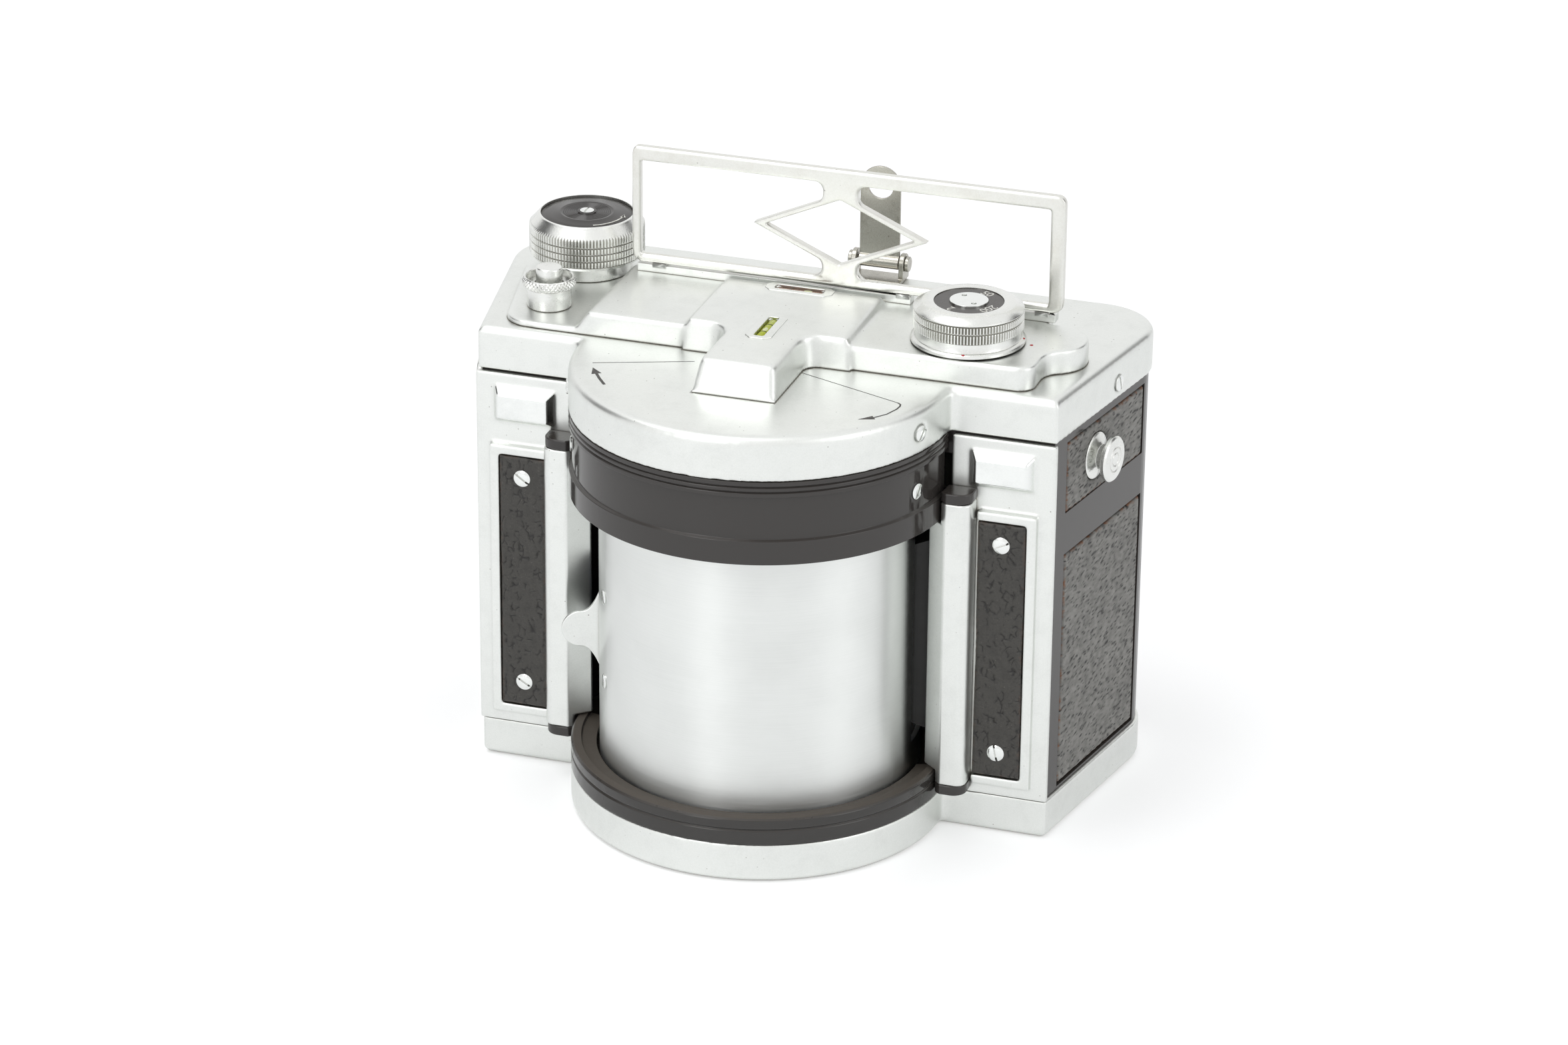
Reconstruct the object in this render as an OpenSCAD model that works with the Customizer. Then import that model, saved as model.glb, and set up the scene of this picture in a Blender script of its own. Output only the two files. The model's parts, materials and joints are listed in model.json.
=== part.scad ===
// Swing-lens panoramic roll-film camera, in millimetres.
// The frame: origin where the drum axis meets the base, -Y is the front, +Z is up.

/* [Body] */
// Radius of the round drum housing in front
housing_r = 46; // [44:0.5:50]
// Half width of the body at its front face
front_half_w = 72; // [70:0.5:78]
// How far each side leans out from front to back
side_splay = 9.4; // [6:0.2:12]
// Depth over which the side leans out
splay_depth = 50; // [46:1:56]
// Depth of the body behind the drum axis
rear_y = 65.5; // [64:0.5:72]
// Radius of the two rear corners
corner_r = 15; // [11:0.5:17]
// Fillet between the drum housing and the wings
junction_r = 2; // [1:0.25:4]
// Height of the bottom plate
base_h = 10; // [9:0.5:14]
// Height of the black body between bottom plate and top cover
body_h = 93; // [92:0.5:100]
// Height of the top cover
cover_h = 10.8; // [10.5:0.1:14]
// Chamfer round the top cover and the bottom plate
edge_c = 1.2; // [0.5:0.1:2]
// Wall of the top cover and the bottom plate
cover_wall = 2.2; // [1.5:0.1:3]
// Inset of the black body behind the covers
body_inset = 0.8; // [0.4:0.1:1.2]
// Thickness of the slab that closes the body below
floor_t = 3; // [2.5:0.25:4]
// Thickness of the slab that carries the clockwork above
roof_t = 6; // [5:0.5:8]

/* [Drum] */
// Thickness of the housing round the drum
housing_wall = 4.8; // [4:0.1:6]
// Wall of the lens drum
drum_wall = 1.2; // [0.8:0.1:1.6]
// Radial gap between the drum and the body round it
drum_gap = 2.2; // [1.5:0.1:2.5]
// Height of the lens axis above the base
lens_z = 50; // [47:0.5:53]
// Direction of the lens at rest, from +X
lens_az = 184; // [182:0.5:186]
// Radius of the lens port
port_r = 8.8; // [7:0.2:9]
// Radius of the drum axles
axle_r = 4; // [3:0.25:5]
// Angle from the lens to the finger tab
tab_az = 16; // [15.5:0.25:20]
// How far the finger tab stands out of the drum
tab_len = 9; // [7:0.1:9.4]
// Teeth of the drum gear
drum_teeth = 60; // [48:4:60]
// Teeth of the mainspring barrel
barrel_teeth = 40; // [32:4:40]
// Teeth of the governor pinion
pinion_teeth = 15; // [14:1:18]
// Gear module
gear_m = 0.6; // [0.5:0.05:0.6]

/* [Film] */
// Radius of the film track round the drum axis
film_r = 50; // [49.6:0.1:51]
// Half angle of the film gate
gate_half = 70; // [60:1:72]
// Height of the picture
picture_h = 52; // [48:1:56]
// Distance of the spool axes from the middle
spool_x = 59.2; // [58.5:0.1:60]
// Distance of the spool axes behind the drum axis
spool_y = 41.5; // [40.5:0.1:42.5]
// Length of a film spool
spool_len = 65.8; // [64:0.2:67]
// Radius of a spool flange
spool_r = 12.6; // [11.5:0.1:13]

/* [Front] */
// How far the lip of the light rails reaches inside the housing radius
rail_lip = 3.6; // [2.5:0.1:4]
// Distance of the rail front ahead of the front face
rail_front = 7.2; // [5:0.1:8]
// Distance of the rail ridge outside the housing radius
rail_ridge = 1.2; // [0.8:0.1:2]
// Width of the rail front
rail_w = 6.2; // [5:0.1:7]
// Width of the leather insert
insert_w = 12; // [9:0.1:12.4]
// Height of the leather insert
insert_h = 66.4; // [55:0.2:68]
// Height of the upper black bezel
bezel_h = 20.7; // [18:0.1:23]
// Height of the lower black ring
ring_h = 6.8; // [6:0.1:9]

/* [Top] */
// Height of the thin pad under knob and release
pad_h = 1.5; // [1:0.1:2]
// Height of the raised platform above the cover
deck_h = 6; // [5:0.1:7]
// Height of the level bridge above the cover
bridge_h = 7.8; // [7.4:0.1:8.4]
// Radius of the winding knob
knob_r = 14.2; // [12:0.1:14.6]
// Height of the winding knob
knob_h = 10.6; // [9:0.1:12]
// Grip flutes of the winding knob
knob_flutes = 96; // [48:4:120]
// Radius of the speed dial
dial_r = 13.1; // [11:0.1:13.3]
// Middle of the speed dial across
dial_x = 45.4; // [44:0.2:47]
// Middle of the speed dial front to back
dial_y = 15.9; // [14:0.2:16]
// Grip slots of the speed dial
dial_slots = 60; // [40:4:72]
// Middle of the release front to back
release_y = 14.9; // [13:0.1:16]
// Travel of the release button
release_travel = 2.5; // [1.5:0.1:3]

/* [Finder] */
// Middle of the viewfinder across
finder_x = 9.9; // [9:0.1:11]
// Width of the finder frame
finder_w = 108; // [100:0.5:108]
// Height of the finder frame above its hinge rod
finder_h = 28.6; // [24:0.1:28.8]
// Distance of the finder hinge behind the drum axis
finder_y = 33; // [32.6:0.1:33.2]
// Bar width of the finder frame
finder_bar = 3.6; // [2.4:0.1:4]
// Middle of the sighting diamond across
diamond_x = 8.4; // [7.5:0.1:9.5]
// Middle of the rear sight across
sight_x = 9.2; // [8:0.1:10]
// Distance of the rear sight behind the drum axis
sight_y = 62.8; // [62.6:0.1:63.4]
// Width of the rear sight plate
sight_w = 10.2; // [8:0.1:11]
// Height of the rear sight hole above the cover
sight_hole_z = 23.7; // [21:0.1:23.8]

/* [Fits] */
// Radial play of a turning shaft
run_fit = 0.05; // [0.03:0.01:0.08]
// Radial play of a pressed or screwed piece
seat_fit = 0.02; // [0.01:0.01:0.03]
// Gap between pieces that pass each other
clear = 0.4; // [0.35:0.05:0.6]

/* [Hidden] */
$fn = 64;
eps = 0.01;
over = 0.5;
silver = "#d4d5d3";
satin = "#c3c4c2";
enamel = "#1d1c1b";
hide = "#2b2a29";
brass = "#b0904e";
body_top = base_h + body_h;
cover_top = body_top + cover_h;
tilt = atan(side_splay / splay_depth);
corner_y = rear_y - corner_r;
corner_x = front_half_w + tan(tilt) * (corner_y - corner_r * sin(tilt)) - corner_r * cos(tilt);

// Levels inside the body
floor_top = base_h + floor_t;
roof_bottom = body_top - roof_t;
cavity_r = housing_r - housing_wall;
drum_r = cavity_r - drum_gap;
tab_reach = drum_r + tab_len;
slab_r = cavity_r + 0.5;
drum_bottom = floor_top + 0.6;
drum_top = roof_bottom - 2;
disc_t = 3;
gear_z = body_top + 1.5;
gear_t = 3;
door_y = 52;
door_wall = 2.6;
door_gap = 0.3;

// Film path
spool_z = lens_z - spool_len / 2;
spool_core_r = 5.2;
spool_bore_r = 3;
chamber_r = spool_r + 1.4;
chamber_top = spool_z + spool_len + 5;
gate_t = 0.8;
dark_r = film_r - gate_t - 0.2;
slit_r = dark_r - 0.6;
roller_r = 2.8;
gate_end = gate_half + 6;
roller_x = (film_r + roller_r + 0.4) * sin(gate_end);
roller_y = (film_r + roller_r + 0.4) * cos(gate_end);
plate_t = 1;

// Front pieces
rail_ridge_x = housing_r + rail_ridge;
rail_outer_x = rail_ridge_x + rail_w;
panel_front = -1.2;
panel_in_x = housing_r + 0.9;
panel_out_x = front_half_w - 0.5;
insert_x0 = rail_outer_x + 0.6;
insert_z0 = lens_z - 0.8 - insert_h / 2;
ridge_w = 2.4;
ridge_front = panel_front - 1.8;
insert_front = ridge_front + 0.4;
rail_z0 = base_h + 4.1;
rail_z1 = body_top - bezel_h + 5.1;
ear_h = 2.6;
ear_r = 3.4;
bezel_half = 89;
bezel_z = body_top - bezel_h;
screw_az = 70.7;
screw_head_r = 1.9;
screw_sink = 1.4;
stud_at = 23.5;
stud_z = body_top - 11.5;
stud_flange_r = 5.75;
stud_head_r = 5.6;
leather_t = 0.9;
leather_sink = 1.2;
leather_y0 = 7.4;
leather_y1 = 49.6;
lower_leather_z = [base_h + 0.9, body_top - 31];
upper_leather_z = [body_top - 20.4, body_top - 2.3];

// Top pieces
pad_top = cover_top + pad_h;
deck_top = cover_top + deck_h;
bridge_top = cover_top + bridge_h;
deck_front = 2.6;
deck_rear = finder_y + 4.2;
deck_left = -48;
deck_right = 64.7;
deck_corner_r = 4.1;
lobe_at = [63.5, 23.9];
lobe_r = 8.9;
lobe_fillet = 6;
ramp_w = 3;
bridge_half = 21;
bridge_rear = finder_y - 1.4;
nose_half = 10.4;
nose_front = -22.9;
nose_r = 5;
draft = 1.2;
nose_slope = 3.4;
level_r = 1.6;
level_len = 12.2;
level_slot = 2.3;
level_x = -0.3;
// Each level: distance behind the drum axis, turn, and width and length of its bezel
level_places = [[3, 0, 6.6, 15.4], [28.6, 90, 5.4, 17]];
shaft_r = 4;
collar_r = 10.8;
collar_h = 3.6;
knob_z = pad_top + collar_h + clear;
knob_disc_r = knob_r - 2.9;
disc_sink = 1.4;
release_r = 3.2;
release_bush_r = 5.4;
release_bush_h = 5;
release_ring_r = 6.6;
release_ring_h = 2.6;
release_top = pad_top + release_bush_h + release_ring_h + 1.8;
release_shoulder = cover_top - 2;
dial_shaft_r = 3;
dial_z = deck_top + clear;
dial_h = 9.4;
ring_sink = 0.6;
skirt_h = 1.2;
skirt_over = 0.5;
dial_ring_r = 8.3;
dial_nut_r = 4.6;
rod_r = 1.25;
rod_z = deck_top + 3.6;
sight_t = 0.8;
sight_pin_r = 0.9;
sight_pin_z = cover_top + 4.2;
sight_ear_r = 2.6;
sight_hole_r = 3.2;
hinge_pin_r = 1.2;
hinge_r = 2.6;
hinge_x = -(corner_x + corner_r) - 1.1;
knuckles = 5;
knuckle_z0 = base_h + 4;
knuckle_len = (body_h - 8) / knuckles;
latch_x = 58;
latch_travel = 4.5;
latch_bolt_in = 4;
latch_bolt_t = 2.2;
window_r = 4.5;
socket_r = 3.175;
socket_depth = 6.3;
bush_r = 6;
bearing_r = 7;
bearing_h = 5.2;
barrel_at = [0, (drum_teeth + barrel_teeth) * gear_m / 2 + 0.1];
pinion_d = (drum_teeth + pinion_teeth) * gear_m / 2 + 0.1;
pinion_az = 10;
pinion_at = [pinion_d * cos(pinion_az), pinion_d * sin(pinion_az)];
arbor_r = 2;

// Inside of the drum
inner_r = drum_r - drum_wall - seat_fit;
barrel_r = 11;
barrel_front = inner_r - 4.78;
barrel_rear = -4;
board_x = 14;
board_t = 2.5;
glass_r = port_r - 0.8;
glass_t = 5;
funnel_near = [20, 22];
funnel_far = [5, picture_h + 2];
tab_screw_az = 14.4;
tab_screw_r = 1.8;
tab_screw_z = [lens_z - 14.2, lens_z + 8];

// Shared outlines

// Plan of the body behind its front face, drawn in by d
module wings2d(d = 0) {
    front_x = front_half_w + tan(tilt) * d - d / cos(tilt);
    reach = corner_r - d;
    half = [
        [front_x, d],
        [corner_x + reach * cos(tilt), corner_y - reach * sin(tilt)],
        [corner_x, corner_y],
        [corner_x, rear_y - d]
    ];
    polygon(concat(half, [for (i = [3:-1:0]) [-half[i][0], half[i][1]]]));
    for (s = [-1, 1])
        translate([s * corner_x, corner_y]) circle(r = reach);
}

// Plan of the whole body with the drum housing, drawn in by d
module outline2d(d = 0) {
    wings2d(d);
    circle(r = housing_r - d);
    r = junction_r + d;
    fillet_x = sqrt(pow(housing_r - d + r, 2) - pow(r - d, 2));
    for (s = [0, 1])
        mirror([s, 0, 0])
            difference() {
                polygon([[0, d], [fillet_x, d], [fillet_x, d - r]]);
                translate([fillet_x, d - r]) circle(r = r);
            }
}

// Block with the body outline and one chamfered rim on its top
module outline_block(h) {
    linear_extrude(h - edge_c) outline2d();
    translate([0, 0, h - edge_c]) {
        cylinder(h = edge_c, r1 = housing_r, r2 = housing_r - edge_c);
        hull() {
            linear_extrude(eps) wings2d();
            translate([0, 0, edge_c - eps]) linear_extrude(eps) wings2d(edge_c);
        }
    }
}

// Keeps what lies in front of, or behind, a plane across the body
module slab_y(y0, y1, z0 = -over, z1 = 200) {
    translate([-120, y0, z0]) cube([240, y1 - y0, z1 - z0]);
}

// Stands a piece on a body side: X points out, Y runs back along the side
module on_side(s) {
    mirror([s < 0 ? 1 : 0, 0, 0])
        translate([front_half_w, 0, 0]) rotate([0, 0, -tilt]) children();
}

// Turns a piece to an angle from the front, X pointing out
module at_front(angle) {
    rotate([0, 0, angle - 90]) children();
}

// Drum frame: X points out along the lens axis
module in_drum() {
    rotate([0, 0, lens_az]) children();
}

module tube(r_out, r_in, h) {
    difference() {
        cylinder(h = h, r = r_out);
        translate([0, 0, -over]) cylinder(h = h + 2 * over, r = r_in);
    }
}

// Curved plate round the drum axis, a0 to a1 from +X
module arc_plate(r_in, r_out, a0, a1, z0, z1) {
    translate([0, 0, z0]) rotate([0, 0, a0])
        rotate_extrude(angle = a1 - a0)
            translate([r_in, 0]) square([r_out - r_in, z1 - z0]);
}

// Rounded bar section, corners by circles
module soft_rect(w, h, r) {
    translate([r, 0]) square([w - 2 * r, h]);
    translate([0, r]) square([w, h - 2 * r]);
    for (x = [r, w - r], y = [r, h - r])
        translate([x, y]) circle(r = r);
}

// Gear with straight-flanked teeth
module gear2d(teeth) {
    pitch_r = teeth * gear_m / 2;
    root_r = pitch_r - 1.15 * gear_m;
    tip_r = pitch_r + 0.85 * gear_m;
    step = 360 / teeth;
    root_a = step * 0.30;
    tip_a = step * 0.10;
    polygon([for (i = [0:teeth - 1], p = [[-root_a, root_r], [-tip_a, tip_r], [tip_a, tip_r], [root_a, root_r]])
        p[1] * [cos(i * step + p[0]), sin(i * step + p[0])]]);
}

// Round grip with upright flutes
module fluted2d(r, count, depth) {
    step = 360 / count;
    polygon([for (i = [0:count - 1], p = [[0, r], [step * 0.36, r], [step * 0.5, r - depth], [step * 0.86, r - depth]])
        p[1] * [cos(i * step + p[0]), sin(i * step + p[0])]]);
}

// Slotted screw, head outward along +X from the surface at x = 0
module slotted_screw(r, proud, depth) {
    difference() {
        translate([-depth, 0, 0]) rotate([0, 90, 0]) cylinder(h = depth + proud, r = r);
        translate([proud - 0.4, -0.35, -2 * r]) cube([1, 0.7, 4 * r]);
    }
}

// Body

module body_casting() {
    color(enamel) {
        difference() {
            union() {
                intersection() {
                    translate([0, 0, base_h]) linear_extrude(body_h) wings2d(body_inset);
                    slab_y(-over, door_y);
                }
                translate([0, 0, base_h]) cylinder(h = floor_t, r = slab_r);
                translate([0, 0, roof_bottom]) cylinder(h = roof_t, r = slab_r);
            }
            // Room for the drum and, behind it, for its light funnel
            translate([0, 0, floor_top]) cylinder(h = roof_bottom - floor_top, r = cavity_r);
            intersection() {
                translate([0, 0, floor_top]) cylinder(h = roof_bottom - floor_top, r = dark_r);
                slab_y(-1, door_y);
            }
            intersection() {
                translate([0, 0, floor_top]) cylinder(h = chamber_top - floor_top, r = film_r + 0.1);
                slab_y(film_r * cos(gate_end) - clear, door_y);
            }
            // Film path, spool chambers and the space that the door closes
            for (p = [[roller_x + roller_r + clear, roller_y], [spool_x, spool_y - chamber_r], [spool_x + chamber_r, spool_y]])
                translate([-p[0], p[1], floor_top]) cube([2 * p[0], door_y, chamber_top - floor_top]);
            knuckle_room(1);
            for (s = [-1, 1]) {
                translate([s * spool_x, spool_y, floor_top]) cylinder(h = chamber_top - floor_top, r = chamber_r);
                translate([s * roller_x, roller_y, floor_top])
                    cylinder(h = chamber_top - floor_top, r = roller_r + clear);
                translate([s * roller_x, roller_y, floor_top - 2])
                    cylinder(h = chamber_top - floor_top + 4, r = arbor_r / 2 + run_fit);
                on_side(s) leather_recess();
            }
            // Bearings, arbors and shafts
            translate([0, 0, base_h - over]) cylinder(h = body_h + 2 * over, r = bearing_r + seat_fit);
            translate([-spool_x, spool_y, chamber_top - over])
                cylinder(h = body_top - chamber_top + 2 * over, r = shaft_r + run_fit);
            for (p = [barrel_at, pinion_at])
                translate([p[0], p[1], body_top - 4]) cylinder(h = 4 + over, r = arbor_r + run_fit);
            translate([-spool_x, release_y, body_top - 8]) cylinder(h = 8 + over, r = release_r / 2 + clear);
        }
        for (i = [0:2:knuckles - 1]) hinge_knuckle(i, -1, hinge_pin_r + seat_fit);
    }
}

module leather_recess() {
    for (z = [lower_leather_z, upper_leather_z])
        translate([-body_inset - leather_sink, leather_y0, z[0]])
            cube([leather_sink + 2, leather_y1 - leather_y0, z[1] - z[0]]);
}

// One hinge knuckle with its web to the body (side -1) or to the door (side 1)
module hinge_knuckle(i, side, bore) {
    z = knuckle_z0 + i * knuckle_len + door_gap / 2;
    h = knuckle_len - door_gap;
    web_y = side > 0 ? door_y + door_gap : door_y - hinge_r;
    difference() {
        union() {
            translate([hinge_x, door_y, z]) cylinder(h = h, r = hinge_r);
            translate([hinge_x, web_y, z]) cube([hinge_r + 1, hinge_r - door_gap, h]);
        }
        translate([hinge_x, door_y, z - over]) cylinder(h = h + 2 * over, r = bore);
    }
}

// Room round the knuckles of the other half of the hinge
module knuckle_room(first) {
    for (i = [first:2:knuckles - 1])
        translate([hinge_x, door_y, knuckle_z0 + i * knuckle_len])
            cylinder(h = knuckle_len, r = hinge_r + clear);
}

module bottom_plate() {
    color(silver) difference() {
        translate([0, 0, base_h]) mirror([0, 0, 1]) outline_block(base_h);
        difference() {
            translate([0, 0, 3]) linear_extrude(base_h) outline2d(cover_wall);
            cylinder(h = base_h, r = bearing_r + 5);
        }
        translate([0, 0, -over]) cylinder(h = socket_depth + over, r = bush_r + seat_fit);
        translate([0, 0, floor_top - bearing_h]) cylinder(h = base_h, r = bearing_r + seat_fit);
    }
}

module tripod_bush() {
    color(brass) tube(bush_r, socket_r, socket_depth);
}

module top_cover() {
    color(silver) difference() {
        translate([0, 0, body_top]) outline_block(cover_h);
        translate([0, 0, body_top - over]) linear_extrude(cover_h - cover_wall + over) outline2d(cover_wall);
        deck_holes(body_top);
        for (a = [-screw_az, screw_az])
            at_front(a) translate([housing_r, 0, body_top + 5])
                rotate([0, 90, 0]) translate([0, 0, -screw_sink]) cylinder(h = 4, r = screw_head_r + seat_fit);
        for (s = [-1, 1])
            on_side(s) translate([0, 33.3, body_top + 3.7])
                rotate([0, 90, 0]) translate([0, 0, -screw_sink]) cylinder(h = 4, r = screw_head_r + seat_fit);
    }
}

// Holes for the wind shaft, the release and the dial shaft
module deck_holes(z) {
    translate([-spool_x, spool_y, z]) cylinder(h = 40, r = shaft_r + clear);
    translate([-spool_x, release_y, z]) cylinder(h = 40, r = release_r + run_fit);
    translate([dial_x, dial_y, z]) cylinder(h = 40, r = dial_shaft_r + run_fit);
}

// Raised deck: pad on the left, platform, and the bridge with the two levels
module top_deck() {
    color(silver) difference() {
        union() {
            translate([0, 0, cover_top]) linear_extrude(pad_h) pad2d();
            translate([0, 0, cover_top]) linear_extrude(deck_h) platform2d();
            translate([0, 0, cover_top]) ramp();
            translate([0, 0, cover_top]) bridge();
            for (p = level_places)
                translate([level_x, p[0], bridge_top - eps]) rotate([0, 0, p[1]]) level_bezel(p[2], p[3]);
        }
        deck_holes(cover_top - over);
        for (p = level_places)
            translate([level_x, p[0], bridge_top - level_r]) rotate([0, 0, p[1]]) {
                rotate([90, 0, 0])
                    cylinder(h = level_len + 2 * seat_fit, r = level_r + seat_fit, center = true);
                translate([-level_slot / 2, -level_len / 2, 0]) cube([level_slot, level_len, 4]);
            }
    }
}

module pad2d() {
    hull() {
        translate([-60.4, 10.3]) circle(r = 7.5);
        translate([-spool_x, spool_y]) circle(r = 15.4);
        translate([deck_left + ramp_w, deck_front]) square([1, deck_rear - deck_front]);
    }
}

// Platform with a rounded corner, a hollow and a round lobe at its right end
module platform2d() {
    left_x = deck_left + ramp_w;
    corner_x = deck_right - deck_corner_r;
    corner_y = deck_front + deck_corner_r;
    hollow_x = deck_right + lobe_fillet;
    hollow_y = lobe_at[1] - sqrt(pow(lobe_r + lobe_fillet, 2) - pow(hollow_x - lobe_at[0], 2));
    translate([left_x, deck_front]) square([corner_x - left_x, deck_rear - deck_front]);
    translate([corner_x, corner_y]) circle(r = deck_corner_r);
    translate([left_x, corner_y]) square([deck_right - left_x, hollow_y - corner_y]);
    translate(lobe_at) circle(r = lobe_r);
    difference() {
        polygon([[left_x, hollow_y], [hollow_x, hollow_y], lobe_at, [left_x, lobe_at[1]]]);
        translate([hollow_x, hollow_y]) circle(r = lobe_fillet);
    }
}

// Slope from the thin pad up to the platform
module ramp() {
    top_x = deck_left + ramp_w;
    translate([0, deck_rear, 0]) rotate([90, 0, 0]) linear_extrude(deck_rear - deck_front)
        polygon([[deck_left, 0], [deck_left, pad_h], [top_x, deck_h], [top_x + 1, deck_h], [top_x + 1, 0]]);
}

// Block with a flat base and a flat top, each given as [x0, y0, x1, y1]
module drafted_block(base, top, h) {
    function corners(b, z) = [[b[0], b[1], z], [b[2], b[1], z], [b[2], b[3], z], [b[0], b[3], z]];
    polyhedron(concat(corners(base, 0), corners(top, h)),
        [[0, 1, 2, 3], [7, 6, 5, 4], [4, 5, 1, 0], [5, 6, 2, 1], [6, 7, 3, 2], [7, 4, 0, 3]]);
}

// Bridge with its nose: drafted walls, and drafted fillets in the two inner corners
module bridge() {
    front = deck_front - draft;
    bite = 0.05;
    taper = draft / bridge_h;
    mid = [nose_half - draft + nose_r - bite, front + draft - nose_r + bite];
    drafted_block([-nose_half, nose_front, nose_half, bridge_rear],
        [-nose_half + draft, nose_front + nose_slope, nose_half - draft, bridge_rear], bridge_h);
    drafted_block([-bridge_half, front, bridge_half, bridge_rear],
        [-bridge_half + draft, front + draft, bridge_half - draft, bridge_rear], bridge_h);
    for (s = [0, 1])
        mirror([s, 0, 0]) difference() {
            translate([0, mid[1], 0]) cube([mid[0], nose_r + over, bridge_h]);
            translate([mid[0], mid[1], -over])
                cylinder(h = bridge_h + 2 * over, r1 = nose_r - draft - taper * over, r2 = nose_r + taper * over);
        }
}

// Raised pad with cut corners round a level
module level_bezel(w, d) {
    cut = 1.6;
    linear_extrude(0.4)
        polygon([for (p = [[1, 1, 0], [1, 1, 1], [-1, 1, 1], [-1, 1, 0], [-1, -1, 0], [-1, -1, 1], [1, -1, 1], [1, -1, 0]])
            [p[0] * (w / 2 - cut * p[2]), p[1] * (d / 2 - cut * (1 - p[2]))]]);
}

module level_vials() {
    color("#b7c83c") for (p = level_places)
        translate([level_x, p[0], bridge_top - level_r]) rotate([0, 0, p[1]])
            rotate([90, 0, 0]) cylinder(h = level_len, r = level_r, center = true);
}

// Front of the wings

module wing_panel() {
    color(silver) difference() {
        union() {
            translate([panel_in_x, panel_front, base_h + 0.4])
                cube([panel_out_x - panel_in_x, body_inset - panel_front, body_h - 0.8]);
            translate([insert_x0 - 0.2, ridge_front, insert_z0 - ridge_w])
                cube([insert_w + ridge_w + 0.2, panel_front - ridge_front + eps, insert_h + 2 * ridge_w]);
            hull() {
                translate([insert_x0 - 2.3, panel_front, body_top - 12.4]) cube([15.8, eps, 9.2]);
                translate([insert_x0 - 0.7, panel_front - 2.6, body_top - 10.8]) cube([12.6, eps, 6]);
            }
        }
        translate([insert_x0 - over, ridge_front - over, insert_z0])
            cube([insert_w + over, panel_front - ridge_front + over, insert_h]);
        panel_screw_places() rotate([-90, 0, 0]) cylinder(h = 3, r = 1.1 + seat_fit, center = true);
        funnel_room();
    }
}

module wing_panel_left() { mirror([1, 0, 0]) wing_panel(); }
module wing_panel_right() { wing_panel(); }

module panel_screw_places() {
    for (z = [insert_z0 + 6.6, insert_z0 + insert_h - 5.6])
        translate([insert_x0 + insert_w / 2, panel_front, z]) children();
}

module front_leather() {
    color(hide) difference() {
        translate([insert_x0 + 0.1, insert_front, insert_z0 + 0.1])
            cube([insert_w - 0.2, panel_front - insert_front, insert_h - 0.2]);
        panel_screw_places() rotate([-90, 0, 0]) cylinder(h = 4, r = 1.1 + seat_fit, center = true);
    }
}

module front_leather_left() { mirror([1, 0, 0]) front_leather(); }
module front_leather_right() { front_leather(); }

module panel_screws() {
    color(satin) for (s = [0, 1])
        mirror([s, 0, 0]) panel_screw_places() {
            translate([0, 1.4, 0]) rotate([90, 0, 0]) cylinder(h = 1.4 + panel_front - insert_front, r = 1.1);
            translate([0, insert_front - panel_front, 0]) rotate([0, 0, -90]) slotted_screw(2.1, 0.7, 0);
        }
}

// Section of a light rail, its outer edge rounded by round_r
module rail2d(round_r) {
    lip_r = housing_r - rail_lip;
    lip_y = panel_front - 1.8;
    lip_x = sqrt(pow(lip_r, 2) - pow(lip_y, 2));
    polygon([
        [lip_x, lip_y], [rail_ridge_x, -rail_front], [rail_outer_x - round_r, -rail_front],
        [rail_outer_x, -rail_front + round_r], [rail_outer_x, panel_front], [panel_in_x, panel_front],
        [lip_x + 0.4, panel_front - 0.4]
    ]);
    intersection() {
        translate([rail_outer_x - round_r, -rail_front + round_r]) circle(r = round_r);
        translate([rail_outer_x - round_r, -rail_front]) square(round_r);
    }
}

// Rail whose lip is cut back at both ends to clear the black rings
module light_rail() {
    color(silver) difference() {
        translate([0, 0, rail_z0]) linear_extrude(rail_z1 - rail_z0) rail2d(2.4);
        cylinder(h = base_h + ring_h + clear, r = housing_r + clear);
        translate([0, 0, bezel_z - clear]) cylinder(h = bezel_h, r = housing_r + clear);
    }
}

module light_rail_left() { mirror([1, 0, 0]) light_rail(); }
module light_rail_right() { light_rail(); }

// Black ears that hold each rail at both ends
module rail_ears() {
    color(enamel) for (s = [0, 1], z = [rail_z0 - ear_h, rail_z1])
        mirror([s, 0, 0]) translate([0, 0, z]) linear_extrude(ear_h) difference() {
            rail2d(ear_r);
            circle(r = housing_r + clear);
        }
}

// Black rings of the drum housing

module bezel_sweep() {
    rotate([0, 0, 270 - bezel_half]) rotate_extrude(angle = 2 * bezel_half) children();
}

module upper_bezel() {
    band_r = housing_r - 0.8;
    color(enamel) difference() {
        bezel_sweep() polygon([
            [slab_r + 0.05, bezel_z], [housing_r, bezel_z], [housing_r, bezel_z + 5.8], [band_r, bezel_z + 6.2],
            [band_r, body_top - 4], [housing_r, body_top - 3.8], [housing_r, body_top - 2.9],
            [housing_r - 0.5, body_top - 2.6], [housing_r, body_top - 2.3], [housing_r, body_top - 1.6],
            [housing_r - 0.5, body_top - 1.3], [housing_r, body_top - 1], [housing_r, body_top], [slab_r + 0.05, body_top]
        ]);
        for (a = [-screw_az, screw_az])
            at_front(a) translate([band_r - screw_sink, 0, body_top - 9.8])
                rotate([0, 90, 0]) cylinder(h = 4, r = screw_head_r + seat_fit);
    }
}

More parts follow.
